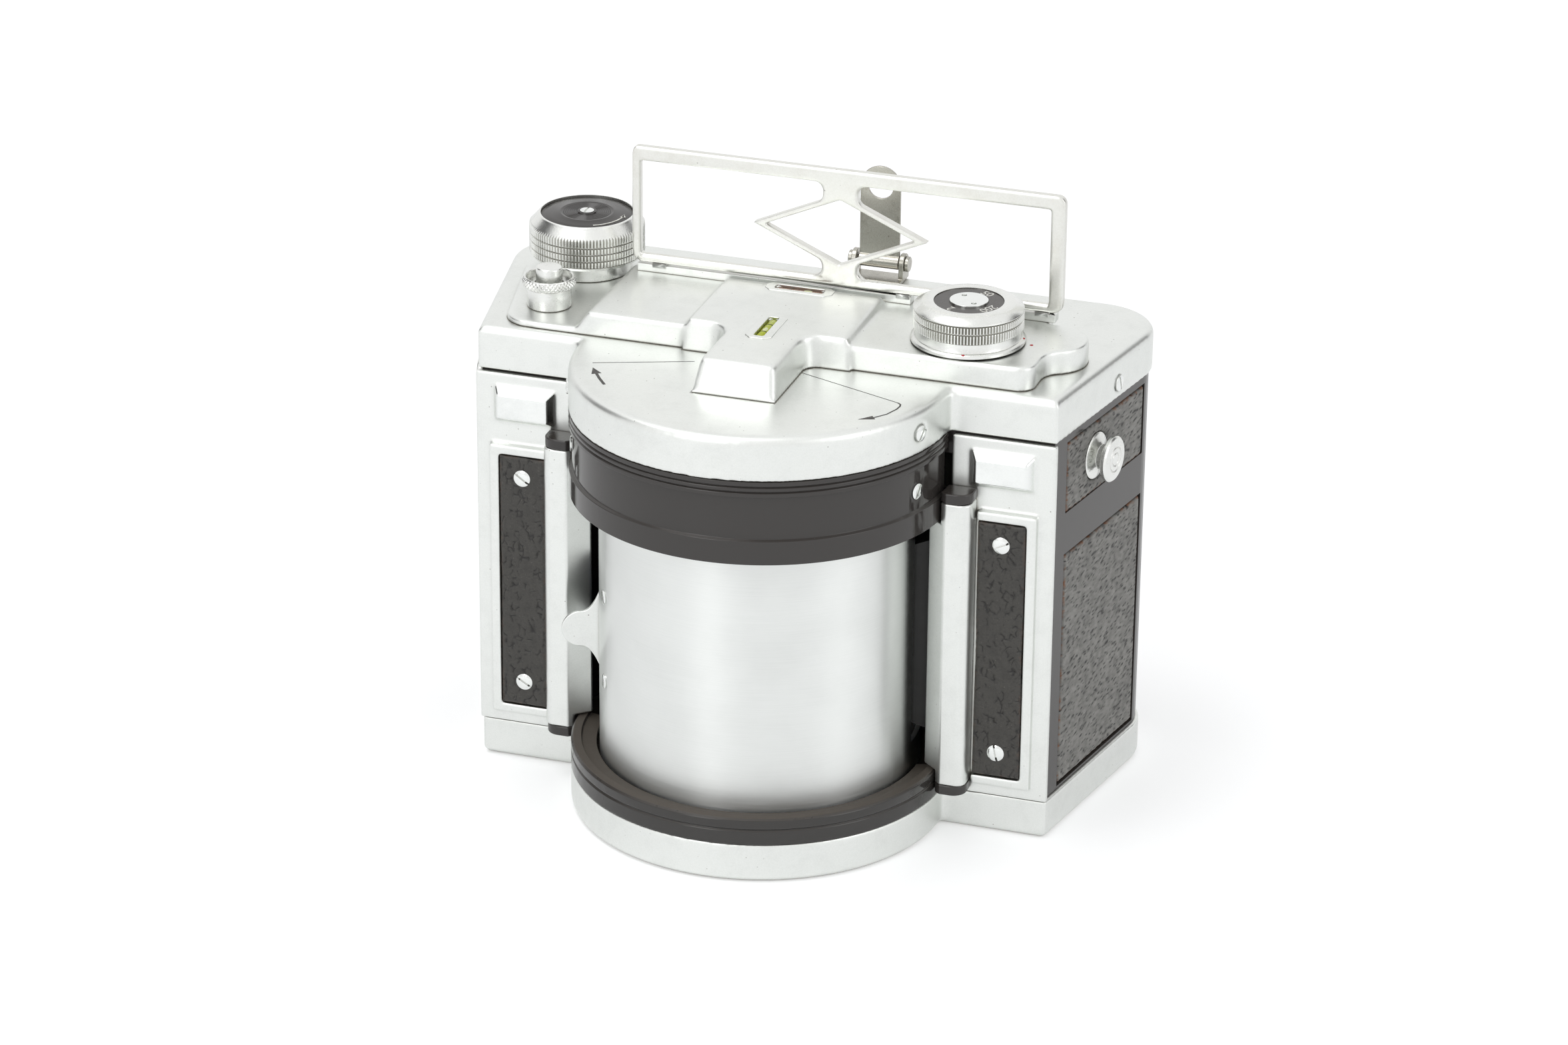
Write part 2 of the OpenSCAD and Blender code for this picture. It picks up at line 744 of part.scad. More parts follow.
module lower_bezel() {
    color(enamel) bezel_sweep() polygon([
        [slab_r + 0.05, base_h], [housing_r, base_h], [housing_r, base_h + 3.4], [housing_r - 0.5, base_h + 3.8],
        [housing_r, base_h + 4.2], [housing_r, base_h + ring_h - 0.6], [housing_r - 0.6, base_h + ring_h],
        [housing_r - 2.6, base_h + ring_h], [housing_r - 2.6, base_h + ring_h - 0.8],
        [drum_r + 0.7, base_h + ring_h - 1.4], [drum_r + 0.7, floor_top + 0.1], [slab_r + 0.05, floor_top + 0.1]
    ]);
}

module cover_screws() {
    color(satin) {
        for (a = [-screw_az, screw_az]) at_front(a) {
            translate([housing_r, 0, body_top + 5]) slotted_screw(screw_head_r, 0.4, screw_sink);
            translate([housing_r - 0.8, 0, body_top - 9.8]) slotted_screw(screw_head_r, 0.5, screw_sink);
        }
        for (s = [-1, 1])
            on_side(s) translate([0, 33.3, body_top + 3.7]) slotted_screw(screw_head_r, 0.3, screw_sink);
    }
}

// Sides

module side_leather(s) {
    color(hide) on_side(s) difference() {
        for (z = [lower_leather_z, upper_leather_z])
            translate([-body_inset - leather_sink, leather_y0 + 0.2, z[0] + 0.2])
                cube([leather_t, leather_y1 - leather_y0 - 0.4, z[1] - z[0] - 0.4]);
        translate([-6, stud_at, stud_z]) rotate([0, 90, 0]) cylinder(h = 10, r = stud_flange_r + 0.1);
    }
}

module side_leather_left() { side_leather(-1); }
module side_leather_right() { side_leather(1); }

module strap_stud(s) {
    color(silver) on_side(s) translate([-body_inset - leather_sink, stud_at, stud_z]) rotate([0, 90, 0])
        rotate_extrude() polygon([
            [0, 0], [stud_flange_r, 0], [stud_flange_r, 1.2], [stud_flange_r - 0.4, 1.5], [3.8, 1.9], [3, 2.5],
            [3, 4.6], [stud_head_r - 0.4, 4.6], [stud_head_r, 4.9], [stud_head_r, 5.7], [stud_head_r - 0.4, 6.1],
            [3.2, 6.3], [3.1, 6.1], [2.9, 6.1], [2.8, 6.3], [1.8, 6.3], [1.7, 6.1], [1.5, 6.1], [1.4, 6.3], [0, 6.3]
        ]);
}

module strap_stud_left() { strap_stud(-1); }
module strap_stud_right() { strap_stud(1); }

// Release

module at_release() {
    translate([-spool_x, release_y, 0]) children();
}

module release_bush() {
    color(silver) at_release() translate([0, 0, pad_top])
        tube(release_bush_r, release_r + run_fit, release_bush_h);
}

module release_ring() {
    color(silver) at_release() translate([0, 0, pad_top + release_bush_h]) rotate_extrude() polygon([
        [release_r + clear, 0], [release_ring_r - 0.6, 0], [release_ring_r, 0.6],
        [release_ring_r, release_ring_h - 0.4], [release_ring_r - 0.4, release_ring_h],
        [release_ring_r - 0.9, release_ring_h], [release_ring_r - 1.2, 0.7], [release_r + clear, 0.7]
    ]);
}

module release_button() {
    color(silver) at_release() rotate_extrude() polygon([
        [0, body_top - 4], [1.5, body_top - 4], [1.5, release_shoulder], [release_r, release_shoulder],
        [release_r, release_top - 0.5], [release_r - 0.5, release_top], [0, release_top + 0.2]
    ]);
}

// Return spring on the stem, from the roof slab to the button's shoulder
module release_spring() {
    color(satin) at_release() translate([0, 0, body_top])
        coil(2.3, 0.35, release_shoulder - body_top - door_gap, 5);
}

// Round wire wound into an open coil of height h
module coil(r, wire, h, turns) {
    sides = 6;
    rings = 12 * turns;
    points = [for (i = [0:rings], j = [0:sides - 1])
        let (a = 360 * turns * i / rings, b = 360 * j / sides, q = r + wire * cos(b))
            [q * cos(a), q * sin(a), wire + (h - 2 * wire) * i / rings + wire * sin(b)]];
    walls = [for (i = [0:rings - 1], j = [0:sides - 1], t = [0, 1])
        let (p = i * sides + j, q = i * sides + (j + 1) % sides)
            t == 0 ? [p, p + sides, q] : [q, p + sides, q + sides]];
    last = rings * sides;
    ends = [[for (j = [0:sides - 1]) j], [for (j = [sides - 1:-1:0]) last + j]];
    polyhedron(points, concat(walls, ends));
}

// Winding

module at_spool(s) {
    translate([s * spool_x, spool_y, 0]) children();
}

module wind_collar() {
    color(silver) at_spool(-1) translate([0, 0, pad_top]) tube(collar_r, shaft_r + run_fit, collar_h);
}

module wind_shaft() {
    key_w = 2 * spool_bore_r + 2.6;
    color(satin) at_spool(-1) {
        translate([0, 0, chamber_top - 2]) cylinder(h = knob_z + knob_h - 2 - chamber_top + 2, r = shaft_r);
        translate([-key_w / 2, -0.8, spool_z + spool_len - 3]) cube([key_w, 1.6, chamber_top - spool_z - spool_len + 2]);
    }
}

// Turned knob with four rows of grip flutes between its foot and its lip
module wind_knob() {
    rows = 4;
    row_h = 1.7;
    groove = 0.2;
    grip_z = 1;
    lip_z = grip_z + rows * (row_h + groove);
    core_r = knob_r - 0.7;
    color(silver) at_spool(-1) translate([0, 0, knob_z]) difference() {
        union() {
            rotate_extrude() polygon([
                [0, 0], [knob_r - 0.8, 0], [knob_r - 0.3, grip_z - groove], [core_r, grip_z - groove],
                [core_r, lip_z], [knob_r, lip_z], [knob_r, knob_h - 0.8], [knob_r - 2.4, knob_h], [0, knob_h]
            ]);
            for (i = [0:rows - 1])
                translate([0, 0, grip_z + i * (row_h + groove)]) linear_extrude(row_h)
                    fluted2d(knob_r, knob_flutes, 0.5);
        }
        translate([0, 0, -over]) cylinder(h = knob_h - 2 + over, r = shaft_r + seat_fit);
        translate([0, 0, knob_h - disc_sink]) cylinder(h = 4, r = knob_disc_r + seat_fit);
    }
}

// Black insert of the knob with its middle screw
module wind_disc() {
    color(enamel) at_spool(-1) translate([0, 0, knob_z + knob_h - disc_sink]) rotate_extrude() polygon([
        [0, 0], [knob_disc_r, 0], [knob_disc_r, 0.6], [6.4, 0.7], [5.8, 0.4], [2.6, 0.4], [2.2, 0.9], [0, 0.9]
    ]);
}

module spool(s) {
    at_spool(s) difference() {
        rotate_extrude() polygon([
            [spool_bore_r, spool_z], [spool_r, spool_z], [spool_r, spool_z + 1.4], [spool_core_r, spool_z + 1.8],
            [spool_core_r, spool_z + spool_len - 1.8], [spool_r, spool_z + spool_len - 1.4],
            [spool_r, spool_z + spool_len], [spool_bore_r, spool_z + spool_len]
        ]);
        translate([-spool_bore_r - 1.5, -1, spool_z + spool_len - 3.5]) cube([2 * spool_bore_r + 3, 2, 5]);
    }
}

module take_up_spool() { color("#3a3a3a") spool(-1); }
module supply_spool() { color("#3a3a3a") spool(1); }

// Pins in the floor, and one in the roof, that the spools turn on
module spool_pins() {
    color(satin) {
        for (s = [-1, 1])
            at_spool(s) {
                translate([0, 0, floor_top]) cylinder(h = spool_z - floor_top - clear, r = 5);
                translate([0, 0, floor_top]) cylinder(h = spool_z - floor_top + 4, r = spool_bore_r - run_fit);
            }
        at_spool(1) {
            translate([0, 0, spool_z + spool_len + clear])
                cylinder(h = chamber_top - spool_z - spool_len - clear, r = 5);
            translate([0, 0, spool_z + spool_len - 4])
                cylinder(h = chamber_top - spool_z - spool_len + 4, r = spool_bore_r - run_fit);
        }
    }
}

// Speed dial

module at_dial() {
    translate([dial_x, dial_y, 0]) children();
}

// Turned dial: skirt, neck with two rows of grip slots, and a sloping rim round the black ring
module speed_dial() {
    rows = 2;
    row_h = 1.8;
    groove = 0.3;
    slot_z = 3.4;
    lip_z = slot_z + rows * (row_h + groove);
    neck_r = dial_r - 0.6;
    color(silver) at_dial() translate([0, 0, dial_z]) difference() {
        union() {
            rotate_extrude() polygon([
                [0, 0], [dial_r + skirt_over, 0], [dial_r + skirt_over, skirt_h * 0.6], [neck_r, skirt_h],
                [neck_r, lip_z], [dial_r, lip_z], [dial_r, lip_z + 0.8], [dial_r - 1.6, dial_h - 0.3],
                [dial_ring_r, dial_h], [0, dial_h]
            ]);
            for (i = [0:rows - 1])
                translate([0, 0, slot_z + i * (row_h + groove)]) linear_extrude(row_h)
                    fluted2d(dial_r, dial_slots, 0.5);
        }
        translate([0, 0, -over]) cylinder(h = dial_h + 2 * over, r = dial_shaft_r + seat_fit);
        translate([0, 0, dial_h - ring_sink]) cylinder(h = 3, r = dial_ring_r);
    }
}

module dial_ring() {
    color(enamel) at_dial() translate([0, 0, dial_z + dial_h - ring_sink])
        tube(dial_ring_r - seat_fit, dial_nut_r, 0.5);
}

// Shaft with the nut above and the speed cam below
module dial_shaft() {
    color(satin) at_dial() difference() {
        union() {
            translate([0, 0, gear_z]) cylinder(h = dial_z + dial_h - gear_z, r = dial_shaft_r);
            translate([0, 0, gear_z]) linear_extrude(2) {
                circle(r = 6);
                translate([2.5, 0]) circle(r = 5.5);
            }
            translate([0, 0, dial_z + dial_h - ring_sink]) cylinder(h = 1, r = dial_nut_r - seat_fit);
        }
        for (s = [-1, 1])
            translate([s * 1.8, -s * 2.2, dial_z + dial_h - 0.3]) cylinder(h = 2, r = 0.6);
    }
}

// Viewfinder

// Low rail behind the bridge with hooks that the frame's rod turns in
module finder_rail() {
    rail_t = 3;
    hook_w = 3.2;
    hook_r = rod_r + 1.1;
    color(silver) difference() {
        union() {
            for (x = [[-43, 26.2], [54, 62]])
                translate([x[0], finder_y - 0.4, deck_top]) cube([x[1] - x[0], rail_t, rod_z - rod_r - clear - deck_top]);
            for (x = [-39, 22.6, 57]) {
                translate([x, finder_y, rod_z]) rotate([0, 90, 0]) cylinder(h = hook_w, r = hook_r);
                translate([x, finder_y - 0.4, deck_top]) cube([hook_w, hook_r + 0.4, rod_z - deck_top]);
            }
        }
        translate([-60, finder_y, rod_z]) rotate([0, 90, 0]) cylinder(h = 140, r = rod_r + run_fit);
        translate([-60, finder_y - 4 - 0.4, rod_z - 0.9]) cube([140, 4, 5]);
        translate([-60, finder_y - 4, rod_z + 0.9]) cube([140, 4.2, 5]);
    }
}

module finder_frame() {
    x0 = finder_x - finder_w / 2;
    outer = [21.8, 9.6];
    inner = [18.7, 8.2];
    web = 4.4;
    web_r = 2.1;
    diamond_z = finder_h / 2 - 1.5;
    depth = 2.4;
    color(satin) translate([0, finder_y, rod_z]) {
        translate([x0, 0, 0]) rotate([0, 90, 0]) cylinder(h = finder_w, r = rod_r);
        translate([0, depth / 2, 0]) rotate([90, 0, 0]) linear_extrude(depth) {
            difference() {
                translate([x0, 0]) soft_rect(finder_w, finder_h, 2.2);
                translate([x0 + finder_bar, -5]) square([finder_w - 2 * finder_bar, finder_h + 5 - finder_bar]);
                translate([x0 - 1, -5]) square([finder_w + 2, 5]);
            }
            difference() {
                union() {
                    translate([diamond_x, diamond_z]) diamond2d(outer[0], outer[1]);
                    translate([diamond_x - web, rod_r / 2]) square([2 * web, finder_h - finder_bar / 2 - rod_r / 2]);
                    for (s = [0, 1])
                        translate([diamond_x, diamond_z]) mirror([s, 0]) {
                            web_fillets(outer, web, web_r, finder_h - finder_bar - diamond_z);
                            mirror([0, 1]) web_fillets(outer, web, web_r, diamond_z - rod_r);
                        }
                }
                translate([diamond_x, diamond_z]) diamond2d(inner[0], inner[1]);
            }
        }
    }
}

// Rounds the two corners of a window between the web, the diamond's edge and a bar at height top
module web_fillets(edge, web, r, top) {
    slope = edge[1] / edge[0];
    mid_x = web + r;
    mid_y = edge[1] - slope * mid_x + r * sqrt(1 + slope * slope);
    foot = [mid_x, mid_y] - r * [edge[1], edge[0]] / norm(edge);
    difference() {
        polygon([[web - eps, edge[1] - slope * web], foot, [mid_x, mid_y], [web - eps, mid_y]]);
        translate([mid_x, mid_y]) circle(r = r);
    }
    difference() {
        translate([web - eps, top - r]) square([r + eps, r + eps]);
        translate([mid_x, top - r]) circle(r = r);
    }
}

module diamond2d(a, b) {
    polygon([[a, 0], [0, b], [-a, 0], [0, -b]]);
}

module sight_bracket() {
    ear_t = 1.2;
    half = sight_w / 2 + clear;
    color(silver) {
        difference() {
            union() {
                translate([sight_x - half - ear_t, sight_y - 5, cover_top]) cube([2 * (half + ear_t), 6.6, 0.9]);
                for (x = [-half - ear_t, half])
                    translate([sight_x + x, sight_y, 0]) {
                        translate([0, 0, sight_pin_z]) rotate([0, 90, 0]) cylinder(h = ear_t, r = sight_ear_r);
                        translate([0, -sight_ear_r, cover_top]) cube([ear_t, 2 * sight_ear_r, sight_pin_z - cover_top]);
                    }
            }
            translate([sight_x - 20, sight_y, sight_pin_z]) rotate([0, 90, 0]) cylinder(h = 40, r = sight_pin_r + seat_fit);
        }
    }
}

module sight_pin() {
    half = sight_w / 2 + clear + 1.2;
    color(satin) translate([sight_x, sight_y, sight_pin_z]) rotate([0, 90, 0]) {
        translate([0, 0, -half - 1]) cylinder(h = 2 * half + 2, r = sight_pin_r);
        for (z = [-half - 1, half])
            translate([0, 0, z]) cylinder(h = 1, r = 1.9);
    }
}

module rear_sight() {
    top = cover_top + sight_hole_z - sight_pin_z;
    color(satin) translate([sight_x, sight_y, sight_pin_z]) difference() {
        union() {
            translate([0, sight_t / 2, 0]) rotate([90, 0, 0]) linear_extrude(sight_t) difference() {
                union() {
                    translate([-sight_w / 2, 0]) square([sight_w, top]);
                    translate([0, top]) circle(r = sight_w / 2);
                }
                translate([0, top]) circle(r = sight_hole_r);
            }
            translate([-sight_w / 2, 0, 0]) rotate([0, 90, 0]) cylinder(h = sight_w, r = sight_pin_r + 0.8);
        }
        translate([-sight_w, 0, 0]) rotate([0, 90, 0]) cylinder(h = 2 * sight_w, r = sight_pin_r + run_fit);
    }
}

// Back

module back_door() {
    color(enamel) {
        difference() {
            intersection() {
                translate([0, 0, base_h + door_gap]) linear_extrude(body_h - 2 * door_gap) wings2d(body_inset);
                slab_y(door_y + door_gap, rear_y);
            }
            translate([0, 0, base_h + 3]) linear_extrude(body_h - 6) wings2d(body_inset + door_wall);
            translate([0, rear_y, lens_z]) rotate([90, 0, 0]) cylinder(h = 8, r = window_r + seat_fit);
            knuckle_room(0);
            // Slots for the latch stem and its bolt
            translate([latch_x - 2.3, rear_y - 6, body_top - 16.5]) cube([4.6, 8, 5 + latch_travel]);
            translate([latch_x - 3.4, rear_y - body_inset - door_wall - latch_bolt_in - clear, body_top - 5])
                cube([6.8, latch_bolt_in + clear + 0.2, 6]);
        }
        for (i = [1:2:knuckles - 1]) hinge_knuckle(i, 1, hinge_pin_r + run_fit);
    }
}

module door_leather() {
    w = corner_x - 1;
    color(hide) difference() {
        for (z = [lower_leather_z, upper_leather_z])
            translate([-w, rear_y - body_inset, z[0]]) cube([2 * w, 0.6, z[1] - z[0]]);
        translate([0, rear_y + 2, lens_z]) rotate([90, 0, 0]) cylinder(h = 8, r = window_r + 1.2);
        translate([latch_x - 5, rear_y - 4, body_top - 18]) cube([10, 8, 10 + latch_travel]);
    }
}

module hinge_pin() {
    color(satin) translate([hinge_x, door_y, knuckle_z0 - 1]) cylinder(h = body_h - 6, r = hinge_pin_r);
}

// Sliding bolt: thumb piece outside, stem, and the bolt that rises behind the cover rim
module door_latch() {
    in_y = rear_y - body_inset - door_wall;
    color(satin) {
        translate([latch_x - 4, rear_y - body_inset + 0.1, body_top - 17.5]) difference() {
            cube([8, 2.2, 7]);
            for (i = [1:4]) translate([-1, 1.7, i * 1.4 - 0.2]) cube([10, 1, 0.5]);
        }
        translate([latch_x - 2, in_y - latch_bolt_in + latch_bolt_t - eps, body_top - 16.2])
            cube([4, door_wall + latch_bolt_in - latch_bolt_t + 0.4, 4.4]);
        translate([latch_x - 3, in_y - latch_bolt_in, body_top - 17]) cube([6, latch_bolt_t, 16.2]);
    }
}

// Curved plate behind the film, on two posts from the door
module pressure_plate() {
    half_angle = 48;
    half_h = picture_h / 2 + 5;
    post_x = 20;
    post_r = 2;
    door_in = rear_y - body_inset - door_wall;
    plate_r = film_r + 0.7;
    post_end = sqrt(pow(plate_r, 2) - pow(post_x + post_r, 2));
    color(satin) {
        arc_plate(plate_r, plate_r + plate_t, 90 - half_angle, 90 + half_angle, lens_z - half_h, lens_z + half_h);
        for (x = [-post_x, post_x])
            translate([x, 0, lens_z]) difference() {
                translate([0, door_in, 0]) rotate([90, 0, 0]) cylinder(h = door_in - post_end, r = post_r);
                translate([-x, 0, -2 * post_r]) cylinder(h = 4 * post_r, r = plate_r + plate_t / 2);
            }
    }
}

module red_window() {
    color("#8c1f1a") translate([0, rear_y - body_inset, lens_z]) rotate([90, 0, 0])
        cylinder(h = door_wall, r = window_r);
}

module film_gate() {
    color(satin) difference() {
        arc_plate(film_r - gate_t, film_r, 90 - gate_end, 90 + gate_end, floor_top, chamber_top);
        arc_plate(film_r - 2, film_r + 2, 90 - gate_half, 90 + gate_half, lens_z - picture_h / 2, lens_z + picture_h / 2);
    }
}

module film_roller(s) {
    color(satin) translate([s * roller_x, roller_y, 0]) {
        translate([0, 0, floor_top - 1.6]) cylinder(h = chamber_top - floor_top + 3.2, r = arbor_r / 2);
        translate([0, 0, floor_top + clear]) cylinder(h = chamber_top - floor_top - 2 * clear, r = roller_r);
    }
}

module film_roller_left() { film_roller(-1); }
module film_roller_right() { film_roller(1); }

// Lens drum

module drum_bearings() {
    color(brass) {
        translate([0, 0, floor_top - bearing_h]) tube(bearing_r, axle_r + run_fit, bearing_h);
        translate([0, 0, roof_bottom]) tube(bearing_r, axle_r + run_fit, roof_t);
    }
}

module drum_shell() {
    color(silver) difference() {
        translate([0, 0, drum_bottom]) tube(drum_r, drum_r - drum_wall, drum_top - drum_bottom);
        in_drum() {
            translate([drum_r - 8, 0, lens_z]) rotate([0, 90, 0]) cylinder(h = 20, r = port_r);
            translate([-drum_r - 2, -5.5, lens_z - 28]) cube([8, 11, 56]);
            rotate([0, 0, tab_az]) translate([drum_r - 4, -0.75, lens_z - 15]) cube([8, 1.5, 20.6]);
            rotate([0, 0, tab_az + tab_screw_az]) for (z = tab_screw_z)
                translate([drum_r - 4, 0, z]) rotate([0, 90, 0]) cylinder(h = 8, r = tab_screw_r + seat_fit);
        }
    }
}

module drum_top_disc() {
    color(satin) {
        translate([0, 0, drum_top - disc_t]) cylinder(h = disc_t, r = inner_r);
        translate([0, 0, drum_top]) cylinder(h = 1.4, r = axle_r + 3);
        translate([0, 0, drum_top]) cylinder(h = gear_z + gear_t - drum_top, r = axle_r);
        translate([0, 0, gear_z]) linear_extrude(gear_t) gear2d(drum_teeth);
    }
}

module drum_bottom_disc() {
    color(satin) {
        translate([0, 0, drum_bottom]) cylinder(h = disc_t, r = inner_r);
        translate([0, 0, floor_top - bearing_h + 0.6]) cylinder(h = bearing_h + 1, r = axle_r);
    }
}

module lens_board() {
    color(enamel) in_drum() difference() {
        translate([board_x, -28, drum_bottom + disc_t]) cube([board_t, 56, drum_top - drum_bottom - 2 * disc_t]);
        translate([0, 0, lens_z]) rotate([0, 90, 0]) cylinder(h = 60, r = barrel_r + seat_fit);
    }
}

// Places a piece on the lens axis, Z pointing out of the drum
module on_lens_axis() {
    in_drum() translate([0, 0, lens_z]) rotate([0, 90, 0]) children();
}

module lens_barrel() {
    seat_r = glass_r + seat_fit;
    bore_r = glass_r - 1;
    color(enamel) on_lens_axis() rotate_extrude() polygon([
        [seat_r, barrel_rear], [barrel_r, barrel_rear], [barrel_r, barrel_front - 3], [port_r + 1, barrel_front],
        [seat_r, barrel_front], [seat_r, barrel_front - glass_t], [bore_r, barrel_front - glass_t],
        [bore_r, barrel_rear + glass_t], [seat_r, barrel_rear + glass_t]
    ]);
}

// Front and rear glass, each bulging out of the barrel
module lens_glass() {
    bulge_r = 18;
    color("#5a6a86") on_lens_axis() {
        intersection() {
            translate([0, 0, barrel_front - glass_t]) cylinder(h = glass_t, r = glass_r);
            translate([0, 0, barrel_front - 1 - bulge_r]) sphere(r = bulge_r);
        }
        intersection() {
            translate([0, 0, barrel_rear]) cylinder(h = glass_t, r = glass_r);
            translate([0, 0, barrel_rear + 1 + bulge_r]) sphere(r = bulge_r);
        }
    }
}

// Tapered light funnel that ends in the exposing slit near the film
module slit_funnel() {
    wall = 0.8;
    past = over / (barrel_rear + slit_r);
    color(enamel) in_drum() translate([0, 0, lens_z]) difference() {
        funnel_block(funnel_near, funnel_far, 0, 1);
        funnel_block(funnel_near - 2 * [wall, wall], funnel_far - 2 * [wall, wall], -past, 1 + past);
    }
}
// Room behind a wing panel for the funnel at the end of its swing
module funnel_room() {
    past = clear / (barrel_rear + slit_r);
    room = 2 * [clear, clear];
    in_drum() translate([0, 0, lens_z]) funnel_block(funnel_near + room, funnel_far + room, 0, 1 + past);
}

// Tapered block from the lens (share 0) to the slit (share 1)
module funnel_block(near, far, from, to) {
    corners = [[-1, -1], [1, -1], [1, 1], [-1, 1]];
    points = [for (t = [from, to], c = corners)
        let (half = (near + (far - near) * t) / 2)
            [barrel_rear - (barrel_rear + slit_r) * t, c[0] * half[0], c[1] * half[1]]];
    polyhedron(points, [[3, 2, 1, 0], [4, 5, 6, 7], [0, 1, 5, 4], [1, 2, 6, 5], [2, 3, 7, 6], [3, 0, 4, 7]]);
}

// Bent tab for turning the drum: foot inside the shell, rounded blade outside
module finger_tab() {
    z = lens_z - 4.7;
    foot_r = drum_r - drum_wall - seat_fit;
    color(silver) in_drum() rotate([0, 0, tab_az]) {
        arc_plate(foot_r - 1, foot_r, -1, 19, lens_z - 18, lens_z + 12);
        translate([0, 0.5, z]) rotate([90, 0, 0]) linear_extrude(1) {
            translate([foot_r - 0.6, -9.6]) square([drum_r + 1.6 - foot_r, 19.2]);
            polygon([[drum_r, -9.6], [drum_r + 2.6, -8], [tab_reach - 4, -4.4], [tab_reach - 4, 4.4], [drum_r + 2.6, 8], [drum_r, 9.6]]);
            translate([tab_reach - 4.6, 0]) circle(r = 4.6);
        }
        rotate([0, 0, tab_screw_az]) for (z = tab_screw_z)
            translate([drum_r, 0, z]) slotted_screw(tab_screw_r, 0.3, drum_wall + 0.6);
    }
}

// Clockwork under the top cover

module spring_barrel() {
    color(brass) translate([barrel_at[0], barrel_at[1], 0]) {
        translate([0, 0, body_top - 3.6]) cylinder(h = 6, r = arbor_r);
        translate([0, 0, gear_z]) rotate([0, 0, mesh_turn(90, barrel_teeth)]) linear_extrude(gear_t) gear2d(barrel_teeth);
        translate([0, 0, gear_z]) cylinder(h = gear_t + 2.4, r = barrel_teeth * gear_m / 2 - 2.2);
    }
}

// Turn that puts a gap of a gear at angle a from the drum against a drum tooth
function mesh_turn(a, teeth) = 180 + a + 180 / teeth + (a % (360 / drum_teeth)) * drum_teeth / teeth;

module governor() {
    color(brass) translate([pinion_at[0], pinion_at[1], 0]) {
        translate([0, 0, body_top - 3.6]) cylinder(h = 6, r = arbor_r);
        translate([0, 0, gear_z]) rotate([0, 0, mesh_turn(pinion_az, pinion_teeth)]) linear_extrude(gear_t) gear2d(pinion_teeth);
        translate([0, 0, gear_z]) cylinder(h = gear_t + 1, r = arbor_r);
        translate([0, 0, gear_z + gear_t + 0.5]) cylinder(h = 1.8, r = 7);
    }
}

body_casting();
bottom_plate();
tripod_bush();
top_cover();
top_deck();
wing_panel_left();
wing_panel_right();
front_leather_left();
front_leather_right();
panel_screws();
light_rail_left();
light_rail_right();
rail_ears();
upper_bezel();
lower_bezel();
cover_screws();
side_leather_left();
side_leather_right();
strap_stud_left();
strap_stud_right();
level_vials();
release_bush();
release_ring();
release_spring();
release_button();
wind_collar();
wind_shaft();
wind_knob();
wind_disc();
take_up_spool();
supply_spool();
spool_pins();
speed_dial();
dial_ring();
dial_shaft();
finder_rail();
finder_frame();
sight_bracket();
sight_pin();
rear_sight();
back_door();
door_leather();
hinge_pin();
door_latch();
pressure_plate();
red_window();
film_gate();
film_roller_left();
film_roller_right();
drum_bearings();
drum_shell();
drum_top_disc();
drum_bottom_disc();
lens_board();
lens_barrel();
lens_glass();
slit_funnel();
finger_tab();
spring_barrel();
governor();
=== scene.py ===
# %% [markdown]
# # A swing-lens panoramic camera
# The camera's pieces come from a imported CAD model, which fixes every size and every joint.
# This lesson dresses them: it sets up the studio, gives each real material its own finish,
# rounds the edges that a hand would feel, and adds the small things that only the eye needs.

# %% Load the frame
import json
import math

import bmesh
import bpy
import numpy as np
from mathutils import Matrix, Vector, noise


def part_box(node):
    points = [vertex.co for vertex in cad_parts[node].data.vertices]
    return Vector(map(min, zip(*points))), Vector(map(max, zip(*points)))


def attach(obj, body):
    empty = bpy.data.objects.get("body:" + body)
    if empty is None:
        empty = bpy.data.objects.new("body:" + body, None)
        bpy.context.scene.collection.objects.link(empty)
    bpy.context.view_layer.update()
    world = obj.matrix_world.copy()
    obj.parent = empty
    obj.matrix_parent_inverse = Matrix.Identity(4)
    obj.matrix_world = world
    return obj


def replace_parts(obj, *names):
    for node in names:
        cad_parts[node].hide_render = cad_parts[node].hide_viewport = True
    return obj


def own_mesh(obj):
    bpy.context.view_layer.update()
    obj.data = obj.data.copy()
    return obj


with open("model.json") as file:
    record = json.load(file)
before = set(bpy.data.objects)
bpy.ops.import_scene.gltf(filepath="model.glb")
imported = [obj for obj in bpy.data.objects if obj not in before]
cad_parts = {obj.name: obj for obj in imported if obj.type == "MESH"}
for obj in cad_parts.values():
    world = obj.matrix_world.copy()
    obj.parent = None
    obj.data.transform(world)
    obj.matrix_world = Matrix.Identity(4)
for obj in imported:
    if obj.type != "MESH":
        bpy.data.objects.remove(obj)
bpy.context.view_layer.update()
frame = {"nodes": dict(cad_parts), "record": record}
nodes = frame["nodes"]
body_of = {node: body for body, members in frame["record"]["behaviour"]["bodies"].items() for node in members}
scene = bpy.context.scene
MM = 0.001


def put_in_scene(name, data):
    made = bpy.data.objects.new(name, data)
    scene.collection.objects.link(made)
    return made


# %% [markdown]
# ## The camera that looks at the camera
# One long lens from a little above and to the right, about 1.3 m away. The angles, the distance
# and the focal length in pixels describe the photographed view, and the lens follows from the
# width of Blender's sensor.

# %% Viewpoint
PHOTO_WIDTH = 2353
AZIMUTH, ELEVATION, ROLL = (math.radians(a) for a in (17.914, 23.864, 0.552))
DISTANCE = 1306.275 * MM
AIM = Vector((-5.290, 33.345, 58.084)) * MM
FOCAL_PIXELS = 7990.6

